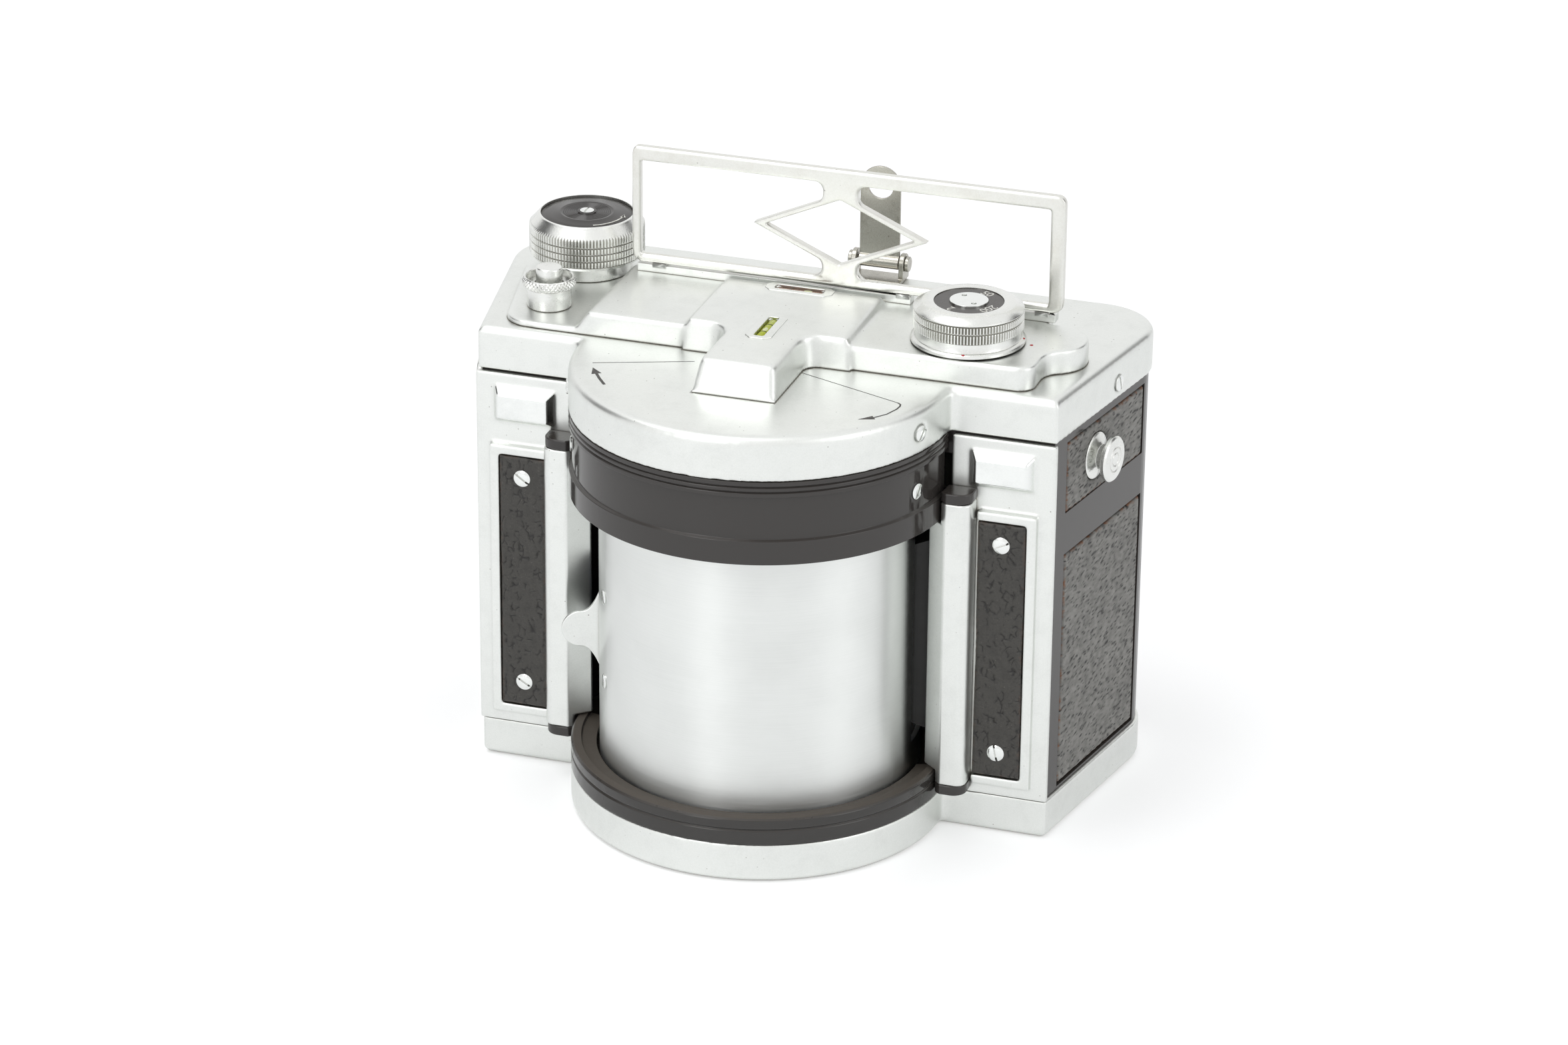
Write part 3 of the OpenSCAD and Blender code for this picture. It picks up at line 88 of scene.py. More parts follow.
level = math.cos(ELEVATION)
back = Vector((math.sin(AZIMUTH) * level, -math.cos(AZIMUTH) * level, math.sin(ELEVATION)))
right = Vector((math.cos(AZIMUTH), math.sin(AZIMUTH), 0))
up = back.cross(right)
right, up = math.cos(ROLL) * right + math.sin(ROLL) * up, math.cos(ROLL) * up - math.sin(ROLL) * right
lens = bpy.data.cameras.new("viewpoint")
lens.sensor_width = 36
lens.lens = FOCAL_PIXELS / PHOTO_WIDTH * lens.sensor_width
viewpoint = put_in_scene("viewpoint", lens)
facing = Matrix((right, up, back)).transposed().to_4x4()
viewpoint.matrix_world = Matrix.Translation(AIM + back * DISTANCE) @ facing
scene.camera = viewpoint
print("lens, mm:", round(lens.lens, 2))

# %% [markdown]
# ## Nodes and colours
# Colours are written as sRGB hex, the way a colour picker gives them, and one function turns
# them to the linear values that shaders use. One function adds a shader node and sets its options.
# Sockets are filled with numbers or with links, and a node stands for its first output. Short
# names for the commonest nodes follow. Every material starts with the same three nodes: the
# shader, the output, and a place in millimetres for its patterns.

# %% Helpers for materials
def linear(hex_colour):
    parts = [int(hex_colour[i:i + 2], 16) / 255 for i in (1, 3, 5)]
    return tuple(c / 12.92 if c <= 0.04045 else ((c + 0.055) / 1.055) ** 2.4 for c in parts) + (1.0,)


def fill(node, inputs):
    for name, value in inputs.items():
        if isinstance(value, bpy.types.Node):
            value = value.outputs[0]
        if isinstance(value, bpy.types.NodeSocket):
            node.id_data.links.new(value, node.inputs[name])
        else:
            node.inputs[name].default_value = value


def add(tree, kind, inputs=None, **options):
    made = tree.nodes.new("ShaderNode" + kind)
    for name, value in options.items():
        setattr(made, name, value)
    fill(made, inputs or {})
    return made


def noise_at(tree, place, size, detail, rough=0.5):
    return add(tree, "TexNoise", {"Vector": place, "Scale": 1 / size, "Detail": detail, "Roughness": rough})


def remap(tree, value, low, high, start=0.0, end=1.0):
    return add(tree, "MapRange", {0: value, 1: low, 2: high, 3: start, 4: end})


def reckon(tree, way, first, second):
    return add(tree, "Math", {0: first, 1: second}, operation=way)


def mix(tree, share, first, second, way="MIX"):
    return add(tree, "MixRGB", {0: share, 1: first, 2: second}, blend_type=way)


def two_tones(tree, value, *stops):
    made = add(tree, "ValToRGB", {0: value})
    for stop, (place, colour) in zip(made.color_ramp.elements, stops):
        stop.position = place
        stop.color = colour
    return made


def start_material(name):
    made = bpy.data.materials.new(name)
    made.use_nodes = True
    tree = made.node_tree
    tree.nodes.clear()
    shader = add(tree, "BsdfPrincipled")
    add(tree, "OutputMaterial", {"Surface": shader})
    place = add(tree, "TexCoord").outputs["Object"]
    in_mm = add(tree, "VectorMath", {0: place, 1: (1000, 1000, 1000)}, operation="MULTIPLY")
    return made, tree, shader, in_mm


def seen_directly(tree):
    path = add(tree, "LightPath").outputs
    seen = reckon(tree, "MAXIMUM", path["Is Camera Ray"], path["Is Transmission Ray"])
    return reckon(tree, "MAXIMUM", seen, path["Is Glossy Ray"])


BLACK, HALF, WHITE = ((level, level, level, 1.0) for level in (0.0, 0.5, 1.0))
print("mid grey in linear:", linear("#808080"))

# %% [markdown]
# ## Studio
# A white table in a white room, with a soft box overhead and two tall ones in front. The room
# and the table count as white for the eye, for reflections and for glass, so bare metal shows
# a bright surround, while the plain light that falls on the camera stays moderate. The table's
# own shading stays in the sum, so it keeps the shadow.

# %% World, table and lamps
room = bpy.data.worlds.new("white room")
room.use_nodes = True
tree = room.node_tree
tree.nodes.clear()
plain = add(tree, "Background", {"Color": WHITE, "Strength": 0.72})
white = add(tree, "Background", {"Color": WHITE, "Strength": 1.0})
mixed = add(tree, "MixShader", {0: seen_directly(tree), 1: plain, 2: white})
add(tree, "OutputWorld", {"Surface": mixed})
scene.world = room
scene.view_settings.view_transform = "Standard"

table_finish, tree, shader, in_mm = start_material("white table")
mirrored = add(tree, "LightPath").outputs["Is Glossy Ray"]
glow = remap(tree, mirrored, 0, 1, 0.30, 0.20)
lift = reckon(tree, "MULTIPLY", seen_directly(tree), glow)
fill(shader, {"Base Color": linear("#f4f5f6"), "Roughness": 0.6, "Emission Color": WHITE,
              "Emission Strength": lift})
bpy.ops.mesh.primitive_plane_add(size=8, location=(0, 0, 0))
table = bpy.context.object
table.name = "table"
table.data.materials.append(table_finish)

LAMPS = {
    "overhead": ((-0.40, -0.25, 1.40), (0.7, 0.6), 3.9),
    "left_front": ((-0.40, -1.30, 0.75), (0.45, 1.1), 2.7),
    "right_front": ((1.35, -0.40, 0.75), (0.6, 1.1), 2.7),
}
for name, (place, size, watts) in LAMPS.items():
    lamp = bpy.data.lights.new(name, "AREA")
    lamp.shape = "RECTANGLE"
    lamp.size, lamp.size_y = size
    lamp.energy = watts
    holder = put_in_scene(name, lamp)
    holder.location = place
    holder.rotation_euler = (Vector((0, 0, 0.06)) - Vector(place)).to_track_quat("-Z", "Y").to_euler()
print("lamps:", list(LAMPS))

# %% [markdown]
# ## Dark cards
# Polished metal shows whatever stands round it, and in an all-white room it has no edges. A
# photographer puts dark cards beside it. These two stand left and right, and the camera doesn't
# see them: only the reflections do.

# %% Cards beside the camera
CARDS = {"left_card": ((-1.15, 0.05, 0.62), (0.7, 0.75)), "right_card": ((0.95, 0.85, 0.62), (0.7, 0.75))}
card_finish, tree, shader, in_mm = start_material("dark card")
fill(shader, {"Base Color": linear("#2a2a2a"), "Roughness": 0.9})
for name, (place, (wide, tall)) in CARDS.items():
    bpy.ops.mesh.primitive_plane_add(size=1, location=place)
    card = bpy.context.object
    card.name = name
    card.scale = (wide, tall, 1)
    card.rotation_euler = (Vector((0, 0, 0.08)) - Vector(place)).to_track_quat("Z", "Y").to_euler()
    card.visible_camera = False
    card.visible_shadow = False
    card.data.materials.append(card_finish)
print("cards:", list(CARDS))

# %% [markdown]
# ## Satin aluminium
# The covers, panels and rails are cast aluminium, blasted to a satin grain and then handled for
# decades. The grain is finer than a tenth of a millimetre, which is too fine to show, so it is
# drawn at 0.4 mm. A few pits hold dirt, and every crease is painted darker as shade, which the
# ambient occlusion node finds: it tells how much of the surround within a millimetre is hidden.
# To the eye that is a soft, nearly white metal whose corners carry a little painted shade.

# %% Satin aluminium
def satin_metal(name, colour, stain, rough, dirt_and_shade=1.0):
    made, tree, shader, in_mm = start_material(name)
    grain = noise_at(tree, in_mm, 0.4, 3.0, 0.6)
    cloud = noise_at(tree, in_mm, 7, 8.0, 0.72)
    # Painted shade: the ambient occlusion darkens every crease towards #8b857a; the pits hold real dirt.
    hidden = add(tree, "AmbientOcclusion", {"Distance": 0.9 * MM}, samples=6)
    crease = remap(tree, hidden.outputs["AO"], 0.35, 0.88, 0.5 * dirt_and_shade, 0.0)
    pits = add(tree, "TexVoronoi", {"Vector": in_mm, "Scale": 1 / 2.4, "Randomness": 1.0})
    pit_mask = two_tones(tree, pits.outputs["Distance"], (0.040, WHITE), (0.085, BLACK))
    patchy = remap(tree, cloud, 0.46, 0.60, 0.0, 0.8 * dirt_and_shade)
    dirty = reckon(tree, "MULTIPLY", pit_mask, patchy)
    tone = two_tones(tree, cloud, (0.32, linear(stain)), (0.52, linear(colour)))
    fine = mix(tree, 0.24, tone, grain, "OVERLAY")
    crease_shaded = mix(tree, crease, fine, linear("#8b857a"))
    skin = mix(tree, dirty, crease_shaded, linear("#6d675f"))
    gloss = remap(tree, cloud, 0.3, 0.7, rough + 0.02, rough - 0.02)
    bump = add(tree, "Bump", {"Height": grain, "Strength": 0.3, "Distance": 0.05 * MM})
    fill(shader, {"Base Color": skin, "Roughness": gloss, "Normal": bump, "Metallic": 1.0})
    return made


CAST = satin_metal("satin_cast_aluminium", "#e6e8e5", "#e1e3e0", 0.37)
BRIGHT = satin_metal("polished_aluminium", "#eceeec", "#e6e8e6", 0.14, 0.4)
TURNED = satin_metal("turned_aluminium", "#e8e9e6", "#e2e3df", 0.27, 0.9)
NICKEL = satin_metal("satin_nickel_plate", "#e2e2dd", "#dcdbd5", 0.30, 0.8)
GREY_NICKEL = satin_metal("worn_grey_nickel", "#b5b3ab", "#a09d94", 0.27)
print("made", CAST.name, BRIGHT.name, TURNED.name, NICKEL.name, GREY_NICKEL.name)

# %% [markdown]
# ## Brushed and turned metal
# The drum was brushed as it turned on a lathe: fine scratches run round it, so a lamp shows
# as a tall soft band, which the shader's anisotropy gives. The scratches themselves are drawn
# 0.2 mm wide and some 14 mm long, a little coarser than the real ones so that they show. The
# steel and brass inside were turned in the same way.

# %% Lathe-brushed metal
def lathe_brushed(name, colour, dark, rough, stretch):
    made, tree, shader, in_mm = start_material(name)
    along = add(tree, "VectorMath", {0: in_mm, 1: (1 / 14, 1 / 14, 1 / 0.2)}, operation="MULTIPLY")
    brush = noise_at(tree, along, 1.0, 4.0, 0.7)
    cloud = noise_at(tree, in_mm, 16, 4.0)
    tone = two_tones(tree, cloud, (0.3, linear(dark)), (0.6, linear(colour)))
    fine = mix(tree, 0.22, tone, brush, "OVERLAY")
    gloss = remap(tree, brush, 0.3, 0.7, rough - 0.04, rough + 0.05)
    bump = add(tree, "Bump", {"Height": brush, "Strength": 0.12, "Distance": 0.03 * MM})
    if stretch:
        round_axis = add(tree, "Tangent", direction_type="RADIAL", axis="Z")
        fill(shader, {"Anisotropic": stretch, "Anisotropic Rotation": 0.25, "Tangent": round_axis})
    fill(shader, {"Base Color": fine, "Roughness": gloss, "Normal": bump, "Metallic": 1.0})
    return made


DRUM = lathe_brushed("brushed_aluminium_drum", "#e6e8e6", "#e1e3e1", 0.36, 0.8)
STEEL = lathe_brushed("drawn_steel", "#b4b3b0", "#9c9b98", 0.3, 0.0)
BRASS = lathe_brushed("turned_brass", "#b99a58", "#a48443", 0.3, 0.0)
print("made", DRUM.name, STEEL.name, BRASS.name)

# %% [markdown]
# ## Black enamel
# Stoved enamel over metal: a glossy black skin that flows a little, so its reflections wobble
# over a few millimetres, with fine rubbing that dulls it in patches. Dust settles on what faces
# up, which shows as a dull brown on the ledge below the drum.

# %% Stoved black enamel
def stoved_enamel(name, colour, dust, rough, settled=0.15):
    made, tree, shader, in_mm = start_material(name)
    flow = noise_at(tree, in_mm, 2.5, 2.0)
    rub = noise_at(tree, in_mm, 5, 6.0, 0.7)
    specks = add(tree, "TexVoronoi", {"Vector": in_mm, "Scale": 1 / 1.9})
    speck_mask = two_tones(tree, specks.outputs["Distance"], (0.04, HALF), (0.08, BLACK))
    facing = add(tree, "SeparateXYZ", {0: add(tree, "NewGeometry").outputs["Normal"]})
    upward = remap(tree, facing.outputs[2], 0.6, 0.95, 0.0, settled)
    film = remap(tree, rub, 0.5, 0.8, 0.0, 0.3)
    thin = reckon(tree, "MULTIPLY", speck_mask, film)
    dusty = reckon(tree, "MAXIMUM", thin, upward)
    skin = mix(tree, dusty, linear(colour), linear(dust))
    gloss = remap(tree, rub, 0.3, 0.75, rough, rough + 0.10)
    dulled = reckon(tree, "ADD", gloss, upward)
    bump = add(tree, "Bump", {"Height": flow, "Strength": 0.08, "Distance": 0.1 * MM})
    fill(shader, {"Base Color": skin, "Roughness": dulled, "Normal": bump})
    return made


ENAMEL = stoved_enamel("stoved_black_enamel", "#373432", "#5d564f", 0.06)
DISC_BLACK = stoved_enamel("pressed_black_disc", "#2f2c2a", "#4a453f", 0.14, 0.06)
DUSTY = stoved_enamel("dusty_black_enamel", "#353331", "#5f564c", 0.1, 0.5)
FLAT_BLACK = stoved_enamel("matt_black_paint", "#181716", "#2b2723", 0.55)
print("made", ENAMEL.name, DISC_BLACK.name, DUSTY.name, FLAT_BLACK.name)

# %% [markdown]
# ## Leather
# Two hides. The front inserts are thin black goat, smooth but for short cracks, which are real
# relief in the mesh, so the shader only paints shade into what the mesh marks as low. The sides
# and the door carry a dry, faded hide with long pits, 2.1 mm by 0.8 mm, drawn in the shader
# because they are too fine for the mesh, and painted darker as their shade, as the low places of
# the mesh are on both hides. Both read their place on the hide from the mesh, so the pits lie the
# same way on every side. Where the border is worn, the undyed reddish brown of the hide shows.

# %% Pebbled leather
def pebbled_leather(name, colour, crease, depth, pit, slant, rough, worn):
    made, tree, shader, in_mm = start_material(name)
    on_hide = add(tree, "Attribute", attribute_name="hide_place").outputs["Vector"]
    bend = noise_at(tree, on_hide, 2.6, 2.0)
    moved = mix(tree, 0.9, on_hide, bend.outputs[1], "ADD")
    turned = add(tree, "Mapping", {"Vector": moved, "Rotation": (0, 0, slant)})
    across = add(tree, "VectorMath", {0: turned, 1: (1 / pit[0], 1 / pit[1], 1)}, operation="MULTIPLY")
    cells = add(tree, "TexVoronoi", {"Vector": across, "Scale": 1.0}, feature="SMOOTH_F1")
    waves = add(tree, "TexNoise", {"Vector": across, "Scale": 1.3, "Detail": 3.0, "Roughness": 0.6})
    pores = noise_at(tree, in_mm, 0.4, 4.0, 0.7)
    pebble = remap(tree, cells.outputs["Distance"], 0.12, 0.46)
    wave = remap(tree, waves, 0.34, 0.66)
    rippled = mix(tree, 0.35, pebble, wave)
    # Painted shade: the crease colour darkens the drawn pits and the places the mesh marks as low.
    low = add(tree, "Attribute", attribute_name="grain")
    shade = remap(tree, rippled, 0.15, 0.70, 1 - depth, 1.0)
    risen = reckon(tree, "MULTIPLY", shade, low.outputs["Fac"])
    tone = mix(tree, risen, linear(crease), linear(colour))
    fine = mix(tree, 0.3, tone, pores, "OVERLAY")
    dust = remap(tree, pores, 0.64, 0.76, 0.0, 0.4)
    specked = mix(tree, dust, fine, linear("#a8a49c"))
    border = add(tree, "Attribute", attribute_name="border")
    ragged = reckon(tree, "ADD", border.outputs["Fac"], wave)
    fray = remap(tree, ragged, 0.5, 1.3, worn, 0.0)
    somewhere = remap(tree, bend, 0.44, 0.57)
    frayed = reckon(tree, "MULTIPLY", fray, somewhere)
    skin = mix(tree, frayed, specked, linear("#7d5236"))
    height = mix(tree, 0.25, rippled, pores)
    bump = add(tree, "Bump", {"Height": height, "Strength": 0.8 * depth, "Distance": 0.15 * MM})
    fill(shader, {"Base Color": skin, "Normal": bump, "Roughness": rough})
    return made


GOAT = pebbled_leather("black_goat_leather", "#3d3b37", "#141210", 0.3, (0.8, 0.8), 0.0, 0.42, 0.12)
DRY_HIDE = pebbled_leather("dry_grey_leather", "#8b8a86", "#262524", 1.0, (2.1, 0.8), -0.1, 0.65, 0.9)
print("made", GOAT.name, DRY_HIDE.name)

# %% [markdown]
# ## Glass, spirit, celluloid and paint
# The lens, the two levels and the small red window at the back are clear; the engraved lines,
# the numbers and the dots are filled with paint that has dried a little unevenly.

# %% Clear materials and paint
def clear_material(name, colour, rough, clear, ior):
    made, tree, shader, in_mm = start_material(name)
    smear = noise_at(tree, in_mm, 4, 4.0)
    gloss = remap(tree, smear, 0.4, 0.8, rough, rough + 0.08)
    fill(shader, {"Roughness": gloss, "Base Color": linear(colour), "Transmission Weight": clear, "IOR": ior})
    return made


def filled_paint(name, colour, thin, rough):
    made, tree, shader, in_mm = start_material(name)
    uneven = noise_at(tree, in_mm, 0.6, 3.0)
    tone = two_tones(tree, uneven, (0.35, linear(thin)), (0.6, linear(colour)))
    fill(shader, {"Base Color": tone, "Roughness": rough})
    return made


GLASS = clear_material("coated_lens_glass", "#c9d2ea", 0.02, 0.9, 1.6)
SPIRIT = clear_material("level_spirit", "#c3cf2e", 0.03, 0.25, 1.36)
DRIED = clear_material("dried_level", "#8a5a3a", 0.1, 0.2, 1.4)
BUBBLE = clear_material("level_bubble", "#eef3c4", 0.03, 0.2, 1.3)
CELLULOID = clear_material("red_celluloid", "#7d1712", 0.12, 0.3, 1.5)
BLACK_PAINT = filled_paint("black_engraving_paint", "#2a2927", "#55524e", 0.5)
WHITE_PAINT = filled_paint("white_engraving_paint", "#efefe9", "#c9c8c0", 0.5)
RED_PAINT = filled_paint("red_index_paint", "#c0282c", "#a82127", 0.4)
# Painted shade: a dark colour for the screws' slot floors, which also stands for dirt there, and for the
# shadow line under the panels.
SEAM_DIRT_AND_SHADE = filled_paint("dirt_and_painted_shade_in_seams", "#3a3530", "#5b544c", 0.8)
# Dirt and painted shadow: a dark colour for the line round the deck's foot.
DECK_DIRT_AND_SHADOW = filled_paint("thin_dirt_and_painted_shadow_at_the_deck", "#5f5850", "#aaa499", 0.8)
print("made", GLASS.name, SPIRIT.name, CELLULOID.name, BLACK_PAINT.name, WHITE_PAINT.name, RED_PAINT.name)

# %% [markdown]
# ## Rounded edges
# A CAD solid has knife edges, and real castings and turnings don't. Each piece that shows is
# copied, its flat facets are joined, and every sharp edge gets a bevel weight, which the bevel
# modifier turns into a rounding. The copy settles in the CAD node's place, on the same body. A
# piece that adorns a node rides with it and leaves it as it is.

# %% Dress a piece
WELD, FLAT_TURN, EDGE_TURN = 0.03, 0.7, 28
SIDES = {"left": -1, "right": 1}


def coat(piece, finish):
    piece.data.materials.clear()
    piece.data.materials.append(finish)


def adorn(piece, name, finish):
    coat(piece, finish)
    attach(piece, body_of[name])
    return piece


def settle(piece, name, finish):
    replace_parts(adorn(piece, name, finish), name)
    return piece


def new_piece(name, shape, smooth=True):
    mesh = bpy.data.meshes.new(name)
    shape.to_mesh(mesh)
    shape.free()
    if smooth:
        mesh.polygons.foreach_set("use_smooth", [True] * len(mesh.polygons))
    return put_in_scene(name, mesh)


def round_edges(piece, width, segments=4, **options):
    rounding = piece.modifiers.new("rounded edges", "BEVEL")
    rounding.width = width * MM
    rounding.segments = segments
    rounding.harden_normals = True
    for name, value in options.items():
        setattr(rounding, name, value)


def shape_of(mesh, weld=False):
    shape = bmesh.new()
    shape.from_mesh(mesh)
    if weld:
        bmesh.ops.remove_doubles(shape, verts=shape.verts, dist=WELD * MM)
    return shape


def dress(name, finish, radius):
    shape = shape_of(nodes[name].data, weld=True)
    bmesh.ops.dissolve_limit(shape, angle_limit=math.radians(FLAT_TURN), verts=shape.verts, edges=shape.edges)
    weight = shape.edges.layers.float.new("bevel_weight_edge")
    for edge in shape.edges:
        if len(edge.link_faces) == 2 and edge.calc_face_angle(0) > math.radians(EDGE_TURN):
            edge[weight] = 1.0
    piece = new_piece(name + "_dressed", shape)
    piece.data.set_sharp_from_angle(angle=math.radians(EDGE_TURN))
    round_edges(piece, radius, limit_method="WEIGHT")
    return settle(piece, name, finish)


DRESSED = {
    CAST: {"light_rail_left": 0.6, "light_rail_right": 0.6, "finder_rail": 0.2},
    DRUM: {"drum_shell": 0.2},
    TURNED: {"wind_collar": 0.3, "release_bush": 0.3, "strap_stud_left": 0.2, "strap_stud_right": 0.2},
    BRIGHT: {"dial_shaft": 0.1},
    NICKEL: {"door_latch": 0.25},
    GREY_NICKEL: {"rear_sight": 0.15, "sight_bracket": 0.2, "sight_pin": 0.2},
    ENAMEL: {"upper_bezel": 0.2, "rail_ears": 0.4, "body_casting": 0.4, "back_door": 0.4, "dial_ring": 0.08},
    DUSTY: {"lower_bezel": 0.2},
}
dressed = {}
for finish, pieces in DRESSED.items():
    for name, radius in pieces.items():
        dressed[name] = dress(name, finish, radius)
    print(finish.name, "on", list(pieces))

# %% [markdown]
# ## Hooks of the finder rail
# The rail's hooks hold the finder's rod from below and behind. On the camera they were filed down
# until they don't show above the rod or in front of it, so two planes cut the dressed rail there.

# %% File the hooks down
ROD_Y, ROD_Z = 33.0, 123.4
ABOVE_ROD, BEFORE_ROD = 0.2, 0.9


def cut_plane(shape, place, outward, clear=False):
    everything = shape.verts[:] + shape.edges[:] + shape.faces[:]
    made = bmesh.ops.bisect_plane(shape, geom=everything, plane_co=Vector(place) * MM, plane_no=outward,
                                  clear_outer=clear)
    return [part for part in made["geom_cut"] if isinstance(part, bmesh.types.BMEdge)]


rail = dressed["finder_rail"].data
shape = shape_of(rail)
for place, outward in (((0, 0, ROD_Z + ABOVE_ROD), (0, 0, 1)), ((0, ROD_Y - BEFORE_ROD, 0), (0, -1, 0))):
    bmesh.ops.holes_fill(shape, edges=cut_plane(shape, place, outward, clear=True))
bmesh.ops.recalc_face_normals(shape, faces=shape.faces)
shape.to_mesh(rail)
shape.free()
print("rail faces:", len(rail.polygons))

# %% [markdown]
# ## Soft castings
# The covers, the deck, the panels and the finder frame were cast, filed and blasted, so no edge
# on them is sharp and every inner corner has a fillet. A bevel can't give both, so these pieces
# become a fine even skin, and the skin is relaxed: each point moves towards the middle of its
# neighbours, again and again, which rounds outer edges and fills inner ones. Crisp places move
# less. The finder's bars are slimmed and bent at the lower corners, and the panels are widened.

# %% Relax a skin
def fine_skin(name, suffix, voxel):
    piece = put_in_scene(name + suffix, nodes[name].data.copy())
    fine = piece.modifiers.new("fine skin", "REMESH")
    fine.mode = "VOXEL"
    fine.voxel_size = voxel * MM
    mesh = bpy.data.meshes.new_from_object(piece.evaluated_get(bpy.context.evaluated_depsgraph_get()))
    piece.modifiers.clear()
    piece.data = mesh
    mesh.polygons.foreach_set("use_smooth", [True] * len(mesh.polygons))
    return piece


def points_of(mesh):
    points = np.empty(len(mesh.vertices) * 3)
    mesh.vertices.foreach_get("co", points)
    return points.reshape(-1, 3) / MM


def settle_skin(piece, name, finish, points):
    piece.data.vertices.foreach_set("co", (points * MM).ravel())
    piece.data.update()
    print(name, "skin points:", len(points))
    settle(piece, name, finish)


def relaxed_casting(name, finish, voxel, passes, ease=None, reshape=None):
    piece = fine_skin(name, "_cast", voxel)
    mesh = piece.data
    points = points_of(mesh)
    ends = np.empty(len(mesh.edges) * 2, dtype=np.int64)
    mesh.edges.foreach_get("vertices", ends)
    start, end = ends.reshape(-1, 2).T
    count = np.bincount(np.concatenate([start, end]), minlength=len(points))
    step = PULL * (ease(points) if ease else np.ones(len(points)))
    for i in range(passes):
        for axis in range(3):
            along = points[:, axis]
            total = np.bincount(start, along[end], len(points)) + np.bincount(end, along[start], len(points))
            points[:, axis] += step * (total / count - along)
    if reshape:
        points = reshape(points)
    settle_skin(piece, name, finish, points)


DECK_FOOT, DECK_FIRM, JOINTS, JOINT_FIRM = 114.05, 0.4, (9.6, 103.4), 0.6
NOSE_HALF, NOSE_BACK = 14, 1
DIAMOND_X, DIAMOND_Z, DIAMOND_WIDE, DIAMOND_HIGH, DIAMOND_FIRM = 8.4, 136.2, 23, 9.5, 0.6
BAR_SLIM, BAR_WIDE, BAR_REACH = 1.5, 3.6, 16
FINDER_CORNER, RIGHT_HOOK, HOOK_HALF, HOOK_AROUND, HOOK_ROOM = 2.8, 58.55, 1.75, 4, 1.17
PANEL_FROM, PANEL_OVER, PANEL_WIDER = 68.5, 2.5, 0.8
PULL, TINY = 0.5, 1e-9


def keep_deck_foot(points):
    nose = (abs(points[:, 0]) < NOSE_HALF) & (points[:, 1] < NOSE_BACK)
    return np.where(points[:, 2] < DECK_FOOT, 0.0, np.where(nose, 1.0, DECK_FIRM))


def keep_joints(points):
    return np.where((points[:, 2] > JOINTS[0]) & (points[:, 2] < JOINTS[1]), JOINT_FIRM, 1.0)


def keep_diamond(points):
    aside, above = abs(points[:, 0] - DIAMOND_X), abs(points[:, 2] - DIAMOND_Z)
    return np.where((aside < DIAMOND_WIDE) & (above < DIAMOND_HIGH), DIAMOND_FIRM, 1.0)


def bend_finder(points):
    left, right, foot = points[:, 0].min(), points[:, 0].max(), points[:, 2].min()
    inward = points[:, 0] - left
    fading = np.clip((BAR_REACH - inward) / (BAR_REACH - BAR_WIDE), 0, 1)
    points[:, 0] -= BAR_SLIM * np.clip(inward / BAR_WIDE, 0, 1) * fading
    from_rod = points[:, 1:] - (ROD_Y, ROD_Z)
    arm = np.hypot(*from_rod.T)
    in_hook = (abs(points[:, 0] - RIGHT_HOOK) < HOOK_HALF) & (arm < HOOK_AROUND)
    points[:, 1:] -= from_rod * np.where(in_hook, 1 - np.minimum(1, HOOK_ROOM / (arm + TINY)), 0)[:, None]
    for end, way in ((left, 1), (right, -1)):
        aside = (points[:, 0] - end) * way / FINDER_CORNER - 1
        down = (points[:, 2] - foot) / FINDER_CORNER - 1
        corner = (aside < 0) & (down < 0)
        reach = np.maximum(abs(aside), abs(down)) / (np.hypot(aside, down) + TINY)
        points[:, 0] = np.where(corner, end + way * FINDER_CORNER * (1 + aside * reach), points[:, 0])
        points[:, 2] = np.where(corner, foot + FINDER_CORNER * (1 + down * reach), points[:, 2])
    return points


def widen_panel(points):
    outward = abs(points[:, 0]) - PANEL_FROM
    points[:, 0] += np.sign(points[:, 0]) * PANEL_WIDER * np.clip(outward / PANEL_OVER, 0, 1)
    return points


relaxed_casting("top_cover", CAST, 0.45, 9, keep_joints)
relaxed_casting("bottom_plate", CAST, 0.45, 8, keep_joints)
relaxed_casting("top_deck", CAST, 0.35, 60, keep_deck_foot)
for side in SIDES:
    relaxed_casting("wing_panel_" + side, CAST, 0.3, 9, reshape=widen_panel)
relaxed_casting("finder_frame", NICKEL, 0.22, 16, keep_diamond, bend_finder)

# %% [markdown]
# ## Pieces inside
# What lies inside, underneath or behind a window keeps its CAD shape and only takes a finish.

# %% Finish the inside
INSIDE = {
    BRASS: ["tripod_bush", "drum_bearings", "spring_barrel", "governor"],
    STEEL: ["wind_shaft", "spool_pins", "hinge_pin", "pressure_plate", "film_gate", "film_roller_left",
            "film_roller_right", "drum_top_disc", "drum_bottom_disc"],
    FLAT_BLACK: ["lens_board", "lens_barrel", "slit_funnel", "take_up_spool", "supply_spool"],
    GLASS: ["lens_glass"],
    CELLULOID: ["red_window"],
}
for finish, names in INSIDE.items():
    for name in names:
        coat(nodes[name], finish)
    print(finish.name, "on", names)

# %% [markdown]
# ## Leather with real relief
# The CAD leathers are plain slabs. Each is remeshed into a fine skin, and every point of that
# skin is moved: outward by the pebbles and creases of its grain, and inward at the border,
# unevenly, as a cut edge frays. Three things stay with each point for the shader: how high it
# lies in the grain, how far it is from the border, and its place on the hide. The noise that bends
# the cracks starts from the clock unless it has a seed, so it gets one.

# %% Skin the leathers
CRACK_SEED = 7
noise.seed_set(CRACK_SEED)


